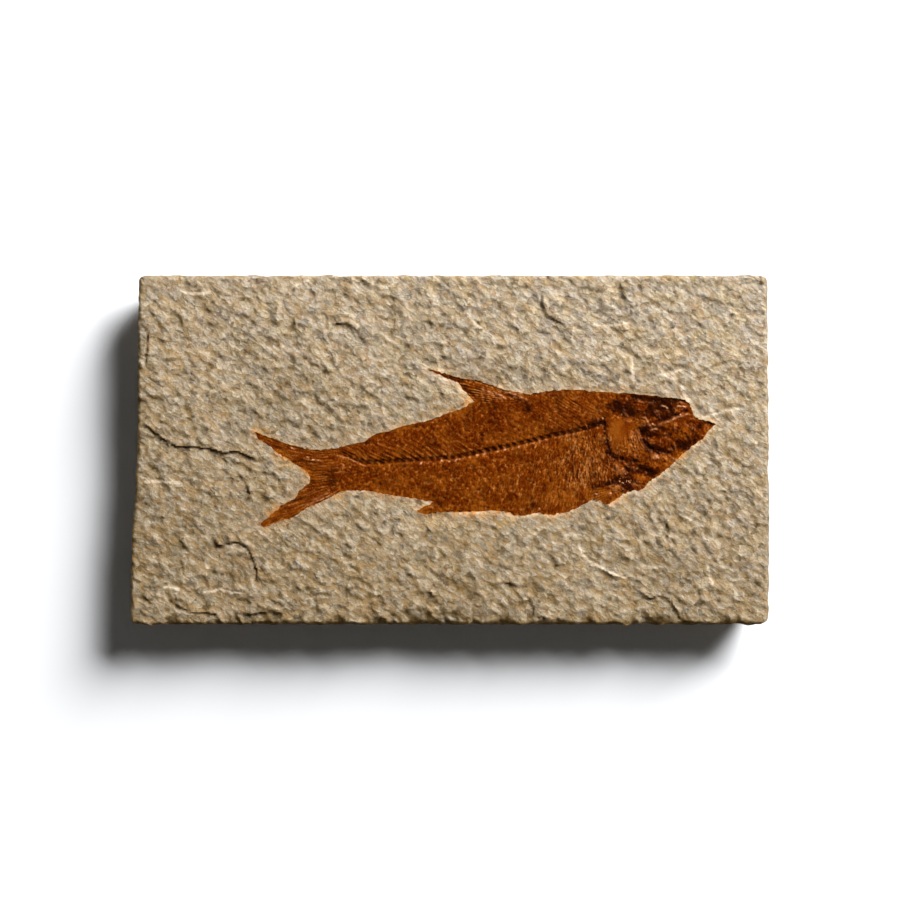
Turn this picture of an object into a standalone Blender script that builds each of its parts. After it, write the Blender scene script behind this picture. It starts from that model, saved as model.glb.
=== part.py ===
"""Knightia fossil fish lying on its side in a loose slab of pale limestone.

The slab is trimmed square, lies on its flat underside, and has a pecked face with broken
ledges and chipped rims. The fish is one thin mineralised relief in a shallow pocket of the
slab: backbone groove, ribs, fin rays and head bones. +X runs towards the snout, +Y towards
the back of the fish and +Z out of the face. The origin is at the middle of the underside.

Lengths are in millimetres, and MM turns them into the metres of the scene.
"""
import math

import bpy
import bmesh
from mathutils import Vector, noise
from mathutils.geometry import intersect_point_line

MM = 0.001

# Slab: its thickness, how far its face swells and breaks, and the pocket for the fish
SLAB_THICKNESS = 10.0
SLAB_HALF_WIDTH = 38.4
SLAB_COLUMNS = 58
SLAB_ROWS = 32
CORNER_RADIUS = 1.1
FACE_LEVEL = 9.55
SWELL_HEIGHT = 0.30
SWELL_SIZE = 15.0
LUMP_HEIGHT = 0.50
LUMP_SIZE = 4.8
FACET_SHIFT = 0.8
RIM_WEAR = 0.35
WALL_BREAK = 0.35
POCKET_FLOOR = 8.4
DISH_DEPTH = 0.32
DISH_REACH = 5.0
SHARP_ANGLE = math.radians(12.0)

# Left and right edges of the slab: x at each y, from the bottom edge to the top edge
LEFT_EDGE = [(-38.4, -70.2), (-30.1, -70.3), (-16.3, -69.9), (-10.8, -69.3),
             (2.2, -68.8), (15.8, -68.7), (38.4, -68.5)]
RIGHT_EDGE = [(-38.4, 70.0), (-28.6, 70.2), (-9.7, 70.3), (-4.0, 70.0),
              (0.0, 70.2), (20.9, 70.0), (38.4, 69.9)]

# Ledges of the face: the drop, how far it runs out, and the line that has it on its left
LEDGES = [
    ("west", 0.85, 4.6, [(-40.0, -2.9), (-45.3, -0.9), (-51.5, 0.0), (-60.5, 0.9),
                         (-63.8, 2.9), (-68.9, 7.5)]),
    ("tail", 0.60, 3.6, [(-44.4, -11.7), (-44.2, -9.0), (-44.7, -7.7), (-46.6, -4.8)]),
    ("south_west", 0.75, 4.6, [(-41.1, -30.4), (-42.9, -25.7), (-44.2, -22.2),
                               (-46.6, -20.5), (-50.2, -21.1), (-52.4, -19.4)]),
    ("north", 0.60, 3.8, [(-18.3, 22.9), (-19.8, 24.6), (-19.8, 26.0), (-21.8, 27.5),
                          (-26.8, 27.5)]),
    ("corner", 0.60, 3.6, [(-51.0, -36.7), (-51.9, -35.9), (-56.8, -35.9), (-62.0, -33.0)]),
]

# Chips broken off the rim: middle x, middle y, half-length, half-depth and drop
RIM_CHIPS = [
    (-68.6, 23.2, 2.4, 4.8, 1.5),
    (-42.0, -38.4, 6.4, 2.9, 1.7),
    (-6.0, -38.4, 11.4, 3.3, 1.9),
    (44.2, -38.4, 4.3, 2.9, 1.4),
]

# Fish: its own gap to the pocket, the level of its edge and how far the flank rises
FIT_GAP = 0.3
FISH_BOTTOM = POCKET_FLOOR + FIT_GAP
FISH_EDGE = 9.28
FLANK_RISE = 0.36
VERTEBRA_PITCH = 1.56
COLUMN_PITCH = VERTEBRA_PITCH / 2
FISH_START = -44.0
FISH_END = 59.5
SPINE_ROWS = [0.5, 1.0]
FLANK_ROWS = 7
GROOVE_DEPTH = 0.40
VERTEBRA_DEPTH = 0.20
RIB_HEIGHT = 0.15
SPINE_BONE_HEIGHT = 0.10
RAY_HEIGHT = 0.16
RIBS_FROM = 0.0
GILL_LINE = 33.6
TAIL_ROOT = -24.5

# Outline of the fish, one stroke after the other, sharp where two strokes meet
OUTLINE = {
    "forehead": [(58.6, 5.7), (55.9, 6.5), (54.6, 6.8), (53.5, 8.0), (52.9, 9.9), (51.3, 11.1),
                 (48.0, 11.6), (44.0, 12.0), (39.6, 12.4), (33.0, 12.8), (27.5, 13.2),
                 (22.4, 13.1), (19.8, 12.7), (17.2, 11.3)],
    "dorsal_fin_front": [(17.2, 11.3), (14.3, 12.5), (11.0, 13.6), (6.6, 15.2), (2.6, 15.8),
                         (-0.7, 16.7), (-2.9, 17.4), (-5.1, 17.8)],
    "dorsal_fin_rear": [(-5.1, 17.8), (-3.1, 16.8), (-0.7, 15.7), (1.5, 14.9), (2.9, 13.2),
                        (4.4, 11.7), (5.3, 10.7)],
    "back": [(5.3, 10.7), (2.9, 9.2), (-0.4, 8.1), (-3.1, 7.0), (-6.6, 6.0), (-10.6, 5.2),
             (-13.6, 4.2), (-16.7, 3.3), (-18.9, 1.8), (-22.0, 1.2), (-25.3, 0.4), (-29.7, 0.0),
             (-33.4, 0.7), (-37.0, 1.8), (-42.9, 3.9)],
    "tail_fork": [(-42.9, 3.9), (-41.8, 2.2), (-39.6, 0.8), (-37.6, -0.9), (-35.2, -2.3),
                  (-31.6, -4.8), (-30.8, -6.1), (-31.1, -7.3), (-33.0, -8.9), (-34.3, -10.7),
                  (-36.5, -12.0), (-39.4, -14.2), (-41.8, -16.3)],
    "lower_lobe": [(-41.8, -16.3), (-40.7, -17.0), (-38.3, -16.1), (-34.8, -14.8),
                   (-32.1, -13.1), (-28.6, -11.5), (-23.5, -9.1), (-20.7, -8.9),
                   (-17.2, -9.1), (-10.6, -10.3), (-3.5, -11.4)],
    "anal_fin": [(-3.5, -11.4), (-5.1, -12.3), (-7.4, -13.3)],
    "belly": [(-7.4, -13.3), (-5.7, -14.0), (-1.1, -13.7), (4.4, -13.6), (9.9, -13.4),
              (12.8, -13.8), (15.0, -14.6), (18.7, -13.9), (22.0, -14.3), (26.0, -13.6),
              (29.0, -12.1), (31.7, -10.6)],
    "breast": [(31.7, -10.6), (34.5, -11.9), (36.5, -10.9), (38.7, -9.5), (40.3, -8.9),
               (42.0, -8.8), (44.0, -6.9), (46.4, -5.3), (49.1, -3.0), (51.5, -0.6),
               (55.7, 2.6), (56.8, 4.1), (58.6, 5.7)],
}
STEPS_PER_POINT = 2

# Backbone line, and how far the fish reaches above and below it: value at each x
BACKBONE = [(-44.0, -6.3), (-31.0, -6.0), (-25.0, -4.6), (-18.0, -3.1), (-11.0, -2.6),
            (-2.2, -2.1), (4.4, -1.2), (11.0, 0.2), (17.6, 1.7), (24.2, 3.3), (30.8, 4.7),
            (34.0, 5.4), (45.0, 5.6), (60.0, 5.6)]
REACH_ABOVE = [(-44.0, 11.8), (-31.0, 7.5), (-23.0, 6.5), (-14.0, 8.2), (-8.0, 10.5),
               (-5.0, 21.0), (5.0, 17.5), (17.0, 11.5), (35.0, 8.4), (44.0, 7.5),
               (53.0, 5.8), (60.0, 3.2)]
REACH_BELOW = [(-44.0, 12.0), (-31.0, 7.8), (-23.0, 6.0), (-14.0, 8.0), (-5.0, 12.6),
               (5.0, 13.4), (17.0, 16.8), (27.5, 18.4), (35.0, 18.6), (44.0, 13.6),
               (53.0, 7.2), (60.0, 3.2)]

# Bones of the head and breast: middle x, middle y, half-length, half-height and rise
HEAD_BONES = [
    ("gill_cover", 38.2, 2.9, 4.4, 4.6, 0.32),
    ("cheek", 50.4, 4.8, 4.4, 2.6, 0.30),
    ("skull_roof", 43.5, 10.0, 7.5, 2.2, 0.26),
    ("orbit", 47.7, 9.0, 2.8, 2.4, -0.62),
    ("throat", 43.0, -5.4, 4.2, 3.0, 0.22),
    ("breast_fin", 35.6, -9.6, 4.4, 2.4, 0.28),
]

# Grooves between the bones: depth, half-width and the line each one follows
HEAD_GROOVES = [
    ("gill_slit", 0.34, 0.9, [(33.7, 6.5), (34.3, 1.6), (35.6, -1.1), (38.0, -2.4), (42.0, -2.7)]),
    ("jaw", 0.30, 0.9, [(41.8, 3.3), (44.0, 0.7), (46.6, -0.3), (50.0, 0.2), (52.8, 1.1),
                        (55.2, 3.2)]),
    ("breast_line", 0.26, 0.8, [(29.5, -8.8), (33.4, -7.6), (38.6, -6.4), (41.0, -4.8)]),
]


def clear_scene():
    """Remove every object, so that the part stands alone."""
    for thing in list(bpy.data.objects):
        bpy.data.objects.remove(thing, do_unlink=True)


def make_collection(name):
    """Add a collection under the scene and return it."""
    collection = bpy.data.collections.new(name)
    bpy.context.scene.collection.children.link(collection)
    return collection


def make_material(name, colour, roughness):
    """Return a plain stone material of one colour."""
    material = bpy.data.materials.new(name)
    material.use_nodes = True
    shader = material.node_tree.nodes["Principled BSDF"]
    shader.inputs["Base Color"].default_value = (*colour, 1.0)
    shader.inputs["Roughness"].default_value = roughness
    shader.inputs["Metallic"].default_value = 0.0
    return material


def value_along(table, place):
    """Read a table of (place, value) rows, straight between its rows and flat past its ends."""
    if place <= table[0][0]:
        return table[0][1]
    for (start, low), (end, high) in zip(table, table[1:]):
        if place <= end:
            share = (place - start) / (end - start)
            return low + (high - low) * share
    return table[-1][1]


def ease(share):
    """Smooth step from 0 to 1."""
    share = min(max(share, 0.0), 1.0)
    return share * share * (3.0 - 2.0 * share)


def bump(x, y, middle_x, middle_y, half_length, half_height):
    """Round bump that is 1 in the middle of an ellipse and 0 at its rim."""
    spread = math.hypot((x - middle_x) / half_length, (y - middle_y) / half_height)
    return 1.0 - ease(spread)


def line_distance(point, line):
    """Distance from a point to an open line, and which side of it the point is on."""
    nearest = math.inf
    side = 0.0
    for start, end in zip(line, line[1:]):
        foot, share = intersect_point_line(point, start, end)
        if share < 0.0:
            foot = Vector(start).to_3d()
        elif share > 1.0:
            foot = Vector(end).to_3d()
        gap = (point.to_3d() - foot.to_3d()).length
        if gap < nearest:
            nearest = gap
            side = (end - start).cross(point - start)
    return nearest, side


def as_vectors(points):
    """Turn pairs of millimetres into 2D vectors."""
    return [Vector(point) for point in points]


def smooth_stroke(points, steps):
    """Points of a smooth curve through one stroke, without its last point."""
    knots = as_vectors(points)
    knots = [2 * knots[0] - knots[1]] + knots + [2 * knots[-1] - knots[-2]]
    curve = []
    for before, start, end, after in zip(knots, knots[1:], knots[2:], knots[3:]):
        for step in range(steps):
            t = step / steps
            curve.append(0.5 * (2 * start + (end - before) * t
                                + (2 * before - 5 * start + 4 * end - after) * t ** 2
                                + (3 * start - before - 3 * end + after) * t ** 3))
    return curve


def fish_outline(steps):
    """Closed outline of the fish, walked anticlockwise."""
    outline = []
    for stroke in OUTLINE.values():
        outline += smooth_stroke(stroke, steps)
    return outline


def grown_outline(outline, gap):
    """The outline moved outwards by the gap, with the points left out that a notch swallows."""
    closed = outline + outline[:1]
    grown = []
    for before, here, after in zip(outline[-1:] + outline, outline, outline[1:] + outline[:1]):
        arriving = (here - before).normalized()
        leaving = (after - here).normalized()
        outward = Vector((arriving.y, -arriving.x)) + Vector((leaving.y, -leaving.x))
        outward.normalize()
        turn = max(outward.dot(Vector((arriving.y, -arriving.x))), 0.5)
        moved = here + outward * gap / turn
        if line_distance(moved, closed)[0] > 0.97 * gap:
            grown.append(moved)
    return grown


def prism(name, outline, low, high, collection):
    """Closed solid over a flat outline, from the level low to the level high."""
    curve = bpy.data.curves.new(name, "CURVE")
    curve.dimensions = "2D"
    curve.fill_mode = "BOTH"
    curve.extrude = (high - low) / 2 * MM
    spline = curve.splines.new("POLY")
    spline.points.add(len(outline) - 1)
    for knot, point in zip(spline.points, outline):
        knot.co = (point.x * MM, point.y * MM, 0.0, 1.0)
    spline.use_cyclic_u = True
    flat = bpy.data.objects.new(name + "_curve", curve)
    flat.location.z = (high + low) / 2 * MM
    bpy.context.scene.collection.objects.link(flat)
    bpy.context.view_layer.update()
    evaluated = flat.evaluated_get(bpy.context.evaluated_depsgraph_get())
    mesh = bpy.data.meshes.new_from_object(evaluated)
    solid = bpy.data.objects.new(name, mesh)
    solid.matrix_world = flat.matrix_world.copy()
    bpy.data.objects.remove(flat, do_unlink=True)
    shell = bmesh.new()
    shell.from_mesh(mesh)
    bmesh.ops.remove_doubles(shell, verts=shell.verts, dist=0.01 * MM)
    bmesh.ops.recalc_face_normals(shell, faces=shell.faces)
    shell.to_mesh(mesh)
    shell.free()
    solid.hide_render = True
    solid.display_type = "WIRE"
    collection.objects.link(solid)
    return solid


def cut_with(target, cutter, operation):
    """Add an exact Boolean modifier to the target."""
    modifier = target.modifiers.new(cutter.name, "BOOLEAN")
    modifier.operation = operation
    modifier.solver = "EXACT"
    modifier.object = cutter


def close_underneath(shell, levels, inset):
    """Carry the open rim of a sheet down through the levels and close it with one flat face."""
    rim = [edge for edge in shell.edges if edge.is_boundary]
    for level in levels:
        walls = bmesh.ops.extrude_edge_only(shell, edges=rim)["geom"]
        rim = [piece for piece in walls if isinstance(piece, bmesh.types.BMEdge)
               and piece.is_boundary]
        for corner in {corner for edge in rim for corner in edge.verts}:
            corner.co.z = level
            corner.co.xy = inset(corner.co.x, corner.co.y, level)
    bmesh.ops.contextual_create(shell, geom=rim)
    bmesh.ops.recalc_face_normals(shell, faces=shell.faces)


def finish_mesh(shell, name, material, collection):
    """Scale a sheet from millimetres to metres and link it as a named object."""
    bmesh.ops.scale(shell, vec=(MM, MM, MM), verts=shell.verts)
    mesh = bpy.data.meshes.new(name)
    shell.to_mesh(mesh)
    shell.free()
    mesh.materials.append(material)
    mesh.shade_smooth()
    mesh.set_sharp_from_angle(angle=SHARP_ANGLE)
    part = bpy.data.objects.new(name, mesh)
    collection.objects.link(part)
    return part


def slab_place(across, up):
    """Place on the slab's face of a point of the unit square, with its corners rounded."""
    y = up * SLAB_HALF_WIDTH
    past = min(max(abs(y) - (SLAB_HALF_WIDTH - CORNER_RADIUS), 0.0), CORNER_RADIUS)
    round_off = CORNER_RADIUS - math.sqrt(CORNER_RADIUS ** 2 - past ** 2)
    left = value_along(LEFT_EDGE, y) + round_off
    right = value_along(RIGHT_EDGE, y) - round_off
    return left + (right - left) * (across + 1.0) / 2.0, y


def slab_top(x, y, outline):
    """Height of the pecked face at a place."""
    level = FACE_LEVEL
    level += SWELL_HEIGHT * noise.noise(Vector((x, y, 0.0)) / SWELL_SIZE)
    level += LUMP_HEIGHT * noise.noise(Vector((x, y, 40.0)) / LUMP_SIZE)
    place = Vector((x, y))
    for _, drop, reach, line in LEDGES:
        gap, side = line_distance(place, as_vectors(line))
        if side > 0.0 and gap < reach:
            level -= drop * (1.0 - gap / reach)
    for middle_x, middle_y, half_length, half_depth, drop in RIM_CHIPS:
        level -= drop * bump(x, y, middle_x, middle_y, half_length, half_depth)
    fish_gap = line_distance(place, outline)[0]
    level -= DISH_DEPTH * (1.0 - ease(fish_gap / DISH_REACH))
    return min(level, SLAB_THICKNESS)


def slab_wall(x, y, level):
    """The trimmed side of the slab leans in and out a little, and is plain at the bottom."""
    depth = WALL_BREAK * abs(noise.noise(Vector((x, y, level)) / SWELL_SIZE))
    reach = 1.0 if level > 0.0 else 0.5
    inward = Vector((-x, -y)).normalized() * depth * reach
    return x + inward.x, y + inward.y


def make_slab(outline, collection, cutters):
    """The loose block of limestone, with the pocket that the fish lies in."""
    sheet = bmesh.new()
    bmesh.ops.create_grid(sheet, x_segments=SLAB_COLUMNS, y_segments=SLAB_ROWS, size=1.0)
    closed = outline + outline[:1]
    for corner in sheet.verts:
        on_rim = corner.is_boundary
        x, y = slab_place(corner.co.x, corner.co.y)
        if not on_rim:
            shift = noise.cell_vector(Vector((x, y, 0.0))) * FACET_SHIFT
            x += shift.x
            y += shift.y
        corner.co = (x, y, slab_top(x, y, closed) - RIM_WEAR * on_rim)
    close_underneath(sheet, [SLAB_THICKNESS / 2, 0.0], slab_wall)
    lengths = [corner.co.x for corner in sheet.verts]
    widths = [corner.co.y for corner in sheet.verts]
    to_middle = Vector((-(min(lengths) + max(lengths)) / 2, -(min(widths) + max(widths)) / 2, 0.0))
    bmesh.ops.translate(sheet, vec=to_middle, verts=sheet.verts)
    limestone = make_material("limestone", (0.45, 0.33, 0.21), 0.95)
    slab = finish_mesh(sheet, "limestone_slab", limestone, collection)
    pocket = prism("pocket", grown_outline(outline, FIT_GAP), POCKET_FLOOR,
                   SLAB_THICKNESS + 1.0, cutters)
    cut_with(slab, pocket, "DIFFERENCE")


def fish_rows(reach):
    """Distances of the mesh rows from the backbone: close beside it, then even out to the reach."""
    rows = list(SPINE_ROWS)
    for step in range(1, FLANK_ROWS + 1):
        rows.append(SPINE_ROWS[-1] + (reach - SPINE_ROWS[-1]) * step / FLANK_ROWS)
    return rows


def skeleton(x, row, column):
    """Relief of the backbone, ribs, spines and tail rays on one crossing of the mesh."""
    raised = column % 2
    if x < TAIL_ROOT:
        return RAY_HEIGHT * (row % 2)
    if x > GILL_LINE:
        return 0.0
    if abs(row) < len(SPINE_ROWS):
        return -GROOVE_DEPTH + VERTEBRA_DEPTH * raised
    if row > 0 and row < FLANK_ROWS:
        return SPINE_BONE_HEIGHT * raised
    if row < 0 and x > RIBS_FROM:
        return RIB_HEIGHT * raised
    return 0.0


def head_relief(x, y):
    """Relief of the bones of the head and breast and the grooves between them."""
    level = 0.0
    for _, middle_x, middle_y, half_length, half_height, rise in HEAD_BONES:
        level += rise * bump(x, y, middle_x, middle_y, half_length, half_height)
    for _, depth, half_width, line in HEAD_GROOVES:
        gap = line_distance(Vector((x, y)), as_vectors(line))[0]
        level -= depth * (1.0 - ease(gap / half_width))
    return level


def make_fish(outline, collection, cutters):
    """The fish in one thin relief: a sheet laid along the backbone, trimmed to the outline."""
    rows_each_side = len(SPINE_ROWS) + FLANK_ROWS
    columns = round((FISH_END - FISH_START) / COLUMN_PITCH)
    sheet = bmesh.new()
    bmesh.ops.create_grid(sheet, x_segments=columns, y_segments=2 * rows_each_side, size=1.0)
    for corner in sheet.verts:
        column = round((corner.co.x + 1.0) / 2.0 * columns)
        row = round(corner.co.y * rows_each_side)
        x = FISH_START + column * COLUMN_PITCH
        reach = value_along(REACH_ABOVE if row > 0 else REACH_BELOW, x)
        offset = 0.0
        if row:
            offset = math.copysign(fish_rows(reach)[abs(row) - 1], row)
        y = value_along(BACKBONE, x) + offset
        level = FISH_EDGE + FLANK_RISE * (1.0 - (offset / reach) ** 2)
        corner.co = (x, y, level + skeleton(x, row, column) + head_relief(x, y))
    close_underneath(sheet, [FISH_BOTTOM], lambda x, y, level: (x, y))
    bone = make_material("fossil_bone", (0.19, 0.05, 0.012), 0.45)
    fish = finish_mesh(sheet, "fossil_fish", bone, collection)
    silhouette = prism("silhouette", outline, FISH_BOTTOM - 1.0, SLAB_THICKNESS + 1.0, cutters)
    cut_with(fish, silhouette, "INTERSECT")


clear_scene()
fossil = make_collection("knightia_fossil")
cutting_tools = make_collection("cutters")
fish_line = fish_outline(STEPS_PER_POINT)
make_slab(fish_line, fossil, cutting_tools)
make_fish(fish_line, fossil, cutting_tools)
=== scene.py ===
import math

import bpy
import numpy as np
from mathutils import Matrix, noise
from mathutils.kdtree import KDTree


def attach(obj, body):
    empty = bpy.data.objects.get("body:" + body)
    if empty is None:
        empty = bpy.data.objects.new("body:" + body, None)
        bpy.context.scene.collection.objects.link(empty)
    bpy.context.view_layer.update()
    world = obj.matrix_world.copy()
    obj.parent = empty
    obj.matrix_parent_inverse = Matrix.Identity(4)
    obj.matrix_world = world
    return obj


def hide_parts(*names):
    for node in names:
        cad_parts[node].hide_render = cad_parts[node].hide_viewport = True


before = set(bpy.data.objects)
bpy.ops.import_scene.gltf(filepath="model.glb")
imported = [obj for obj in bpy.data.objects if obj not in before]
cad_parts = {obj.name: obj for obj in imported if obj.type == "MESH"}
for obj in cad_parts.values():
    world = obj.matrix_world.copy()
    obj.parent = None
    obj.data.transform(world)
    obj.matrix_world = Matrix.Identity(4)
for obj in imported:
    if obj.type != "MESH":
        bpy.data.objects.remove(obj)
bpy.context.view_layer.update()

# The stage is a white table top. One large softbox stands off the upper right corner of the
# slab, low enough to rake over the stone, and the room gives a little light from all round.
# The camera hangs straight above the slab, with the back of the fish at the top of the frame.
TABLE_SIZE = 8.0
TABLE_DROP = 0.00005
TABLE_COLOUR = (0.87, 0.91, 0.97)
LAMP_PLACE = (1.12, 1.28, 0.82)
LAMP_SIDE = (0.66, 0.75)
LAMP_SIZE = 1.02
LAMP_POWER = 124.0
ROOM_LIGHT = 0.056
LAMP_COLOUR = (1.0, 0.97, 0.93)
ROOM_COLOUR = (1.0, 0.93, 0.84)
VIEW_WIDTH = 0.198
FACE_HEIGHT = 0.0097
LENS = 100.0
SENSOR = 36.0

bpy.ops.object.select_all(action="DESELECT")
bpy.ops.mesh.primitive_plane_add(size=TABLE_SIZE, location=(0.0, 0.0, -TABLE_DROP))
table_top = bpy.context.object
table_top.name = "white_table"
bpy.ops.object.transform_apply(location=True, rotation=True, scale=True)
table_paint = bpy.data.materials.new("white_table")
table_paint.use_nodes = True
table_shader = table_paint.node_tree.nodes["Principled BSDF"]
table_shader.inputs["Base Color"].default_value = (*TABLE_COLOUR, 1.0)
table_shader.inputs["Roughness"].default_value = 0.9
table_shader.inputs["Specular IOR Level"].default_value = 0.1
table_top.data.materials.append(table_paint)

bpy.ops.object.light_add(type="AREA", location=LAMP_PLACE)
lamp = bpy.context.object
lamp.data.size = LAMP_SIZE
lamp.data.energy = LAMP_POWER
lamp.data.color = LAMP_COLOUR
reach = math.hypot(LAMP_PLACE[0], LAMP_PLACE[1])
lamp.rotation_euler = (0.0, math.atan2(reach, LAMP_PLACE[2]), math.atan2(LAMP_PLACE[1], LAMP_PLACE[0]))

room = bpy.data.worlds.new("studio_room")
room.use_nodes = True
room.node_tree.nodes["Background"].inputs["Color"].default_value = (*ROOM_COLOUR, 1.0)
room.node_tree.nodes["Background"].inputs["Strength"].default_value = ROOM_LIGHT
bpy.context.scene.world = room
bpy.context.scene.view_settings.view_transform = "Standard"

bpy.ops.object.camera_add(location=(0.0, 0.0, FACE_HEIGHT + VIEW_WIDTH * LENS / SENSOR))
camera = bpy.context.object
camera.rotation_euler = (0.0, 0.0, 0.0)
camera.data.lens = LENS
camera.data.sensor_width = SENSOR
bpy.context.scene.camera = camera

# The slab is one loose block of pale lake limestone, trimmed to a rectangle. Its face was
# pecked down to the layer that holds the fish, so it is all small lumps, with broken ledges,
# a smooth dish round the fish and chips along the rim. Lengths are in millimetres.
MM = 0.001
SLAB_LENGTH = 140.6
SLAB_HALF_WIDTH = 38.4
CORNER_RADIUS = 1.5
FACE = 9.55
HIGHEST = 10.2
POCKET_FLOOR = 8.4
CUTTER_HEIGHT = 4.0
FISH_EDGE = 9.26
DISH_DEPTH = 0.2
DISH_REACH = 5.0
RIM_WEAR = 0.42
STONE_CREASE = 38.0
CELL = 0.345

# Strokes of the chisel: how many, which way they rise, how long they are for their width, how
# steeply they rise, the radius of the smallest and the deepest bite. Then how high the whole
# pecking is left, and how deep its hollows get before they level out.
SCOOPS = 17000
STROKE_TURN = math.radians(35.0)
STROKE_STRETCH = 1.55
STROKE_FALL = 0.26
SCOOP_RADIUS = 0.42
SCOOP_BITE = 0.19
PECK_HEIGHT = 0.67
PECK_DEPTH = 0.36

# Heights of the rows of corners down the side walls, and how far the walls lean in at the foot
WALL_LEVELS = [9.2, 8.6, 7.9, 7.2, 6.4, 5.6, 4.8, 4.0, 3.2, 2.4, 1.6, 0.8, 0.3, 0.0]
UNDERCUT = 2.4

# The left and right sides, up the slab, and how far to the side they are
LEFT_EDGE = [(-38.4, -70.2), (-30.1, -70.3), (-16.3, -69.9), (-10.8, -69.3),
             (2.2, -68.8), (15.8, -68.7), (38.4, -68.5)]
RIGHT_EDGE = [(-38.4, 70.0), (-28.6, 70.2), (-9.7, 70.3), (-4.0, 70.0),
              (0.0, 70.2), (20.9, 70.0), (38.4, 69.9)]

# Outline of the fish, stroke by stroke, with a sharp corner where two strokes meet
OUTLINE = [
    ("forehead", [(58.6, 5.7), (57.4, 6.3), (55.9, 6.5), (54.6, 6.8), (53.5, 8.0), (52.9, 9.9), (51.3, 11.1),
        (48.0, 11.6), (44.0, 12.0), (39.6, 12.4), (33.0, 12.8), (27.5, 13.2), (22.4, 13.1), (19.8, 12.7),
        (17.2, 12.3)]),
    ("front of the dorsal fin", [(17.2, 12.3), (14.3, 12.8), (11.0, 13.6), (6.6, 15.2), (2.6, 15.8),
        (-0.7, 16.7), (-2.9, 17.4), (-5.1, 17.8)]),
    ("rear of the dorsal fin", [(-5.1, 17.8), (-3.1, 16.8), (-0.7, 15.7), (1.5, 14.9), (2.9, 13.2),
        (4.4, 11.7), (5.3, 10.7)]),
    ("back", [(5.3, 10.7), (2.9, 9.2), (-0.4, 8.1), (-3.1, 7.0), (-6.6, 6.0), (-10.6, 5.2), (-13.6, 4.2),
        (-16.7, 3.3), (-18.9, 1.8), (-22.0, 1.2), (-25.3, 0.4), (-29.7, 0.0), (-33.4, 0.7), (-37.0, 1.8),
        (-40.0, 2.9), (-42.9, 3.9)]),
    ("tail fork", [(-42.9, 3.9), (-41.8, 2.2), (-39.6, 0.8), (-37.6, -0.9), (-35.2, -2.3), (-33.2, -3.7),
        (-31.6, -4.8), (-30.8, -6.1), (-31.1, -7.3), (-33.0, -8.9), (-34.3, -10.7), (-36.5, -12.0),
        (-39.4, -14.2), (-41.8, -16.3)]),
    ("lower lobe", [(-41.8, -16.3), (-40.7, -17.0), (-38.3, -16.1), (-34.8, -14.8), (-32.1, -13.1),
        (-28.6, -11.5), (-26.0, -10.2), (-23.5, -9.1), (-20.7, -8.9), (-17.2, -9.1), (-14.1, -9.7),
        (-10.6, -10.3), (-7.0, -10.9), (-3.5, -11.4)]),
    ("anal fin", [(-3.5, -11.4), (-5.1, -12.3), (-7.4, -13.3)]),
    ("belly", [(-7.4, -13.3), (-5.7, -14.0), (-1.1, -13.7), (4.4, -13.6), (9.9, -13.4), (12.8, -13.8),
        (15.0, -14.6), (18.7, -13.9), (22.0, -14.3), (26.0, -13.6), (29.0, -12.1), (31.7, -10.6)]),
    ("breast and jaw", [(31.7, -10.6), (33.0, -11.2), (34.5, -11.9), (36.5, -10.9), (38.7, -9.5),
        (40.3, -8.9), (42.0, -8.8), (44.0, -6.9), (46.4, -5.3), (49.1, -3.0), (51.5, -0.6), (53.7, 1.1),
        (55.7, 2.6), (56.8, 4.1), (58.6, 5.7)]),
]

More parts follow.
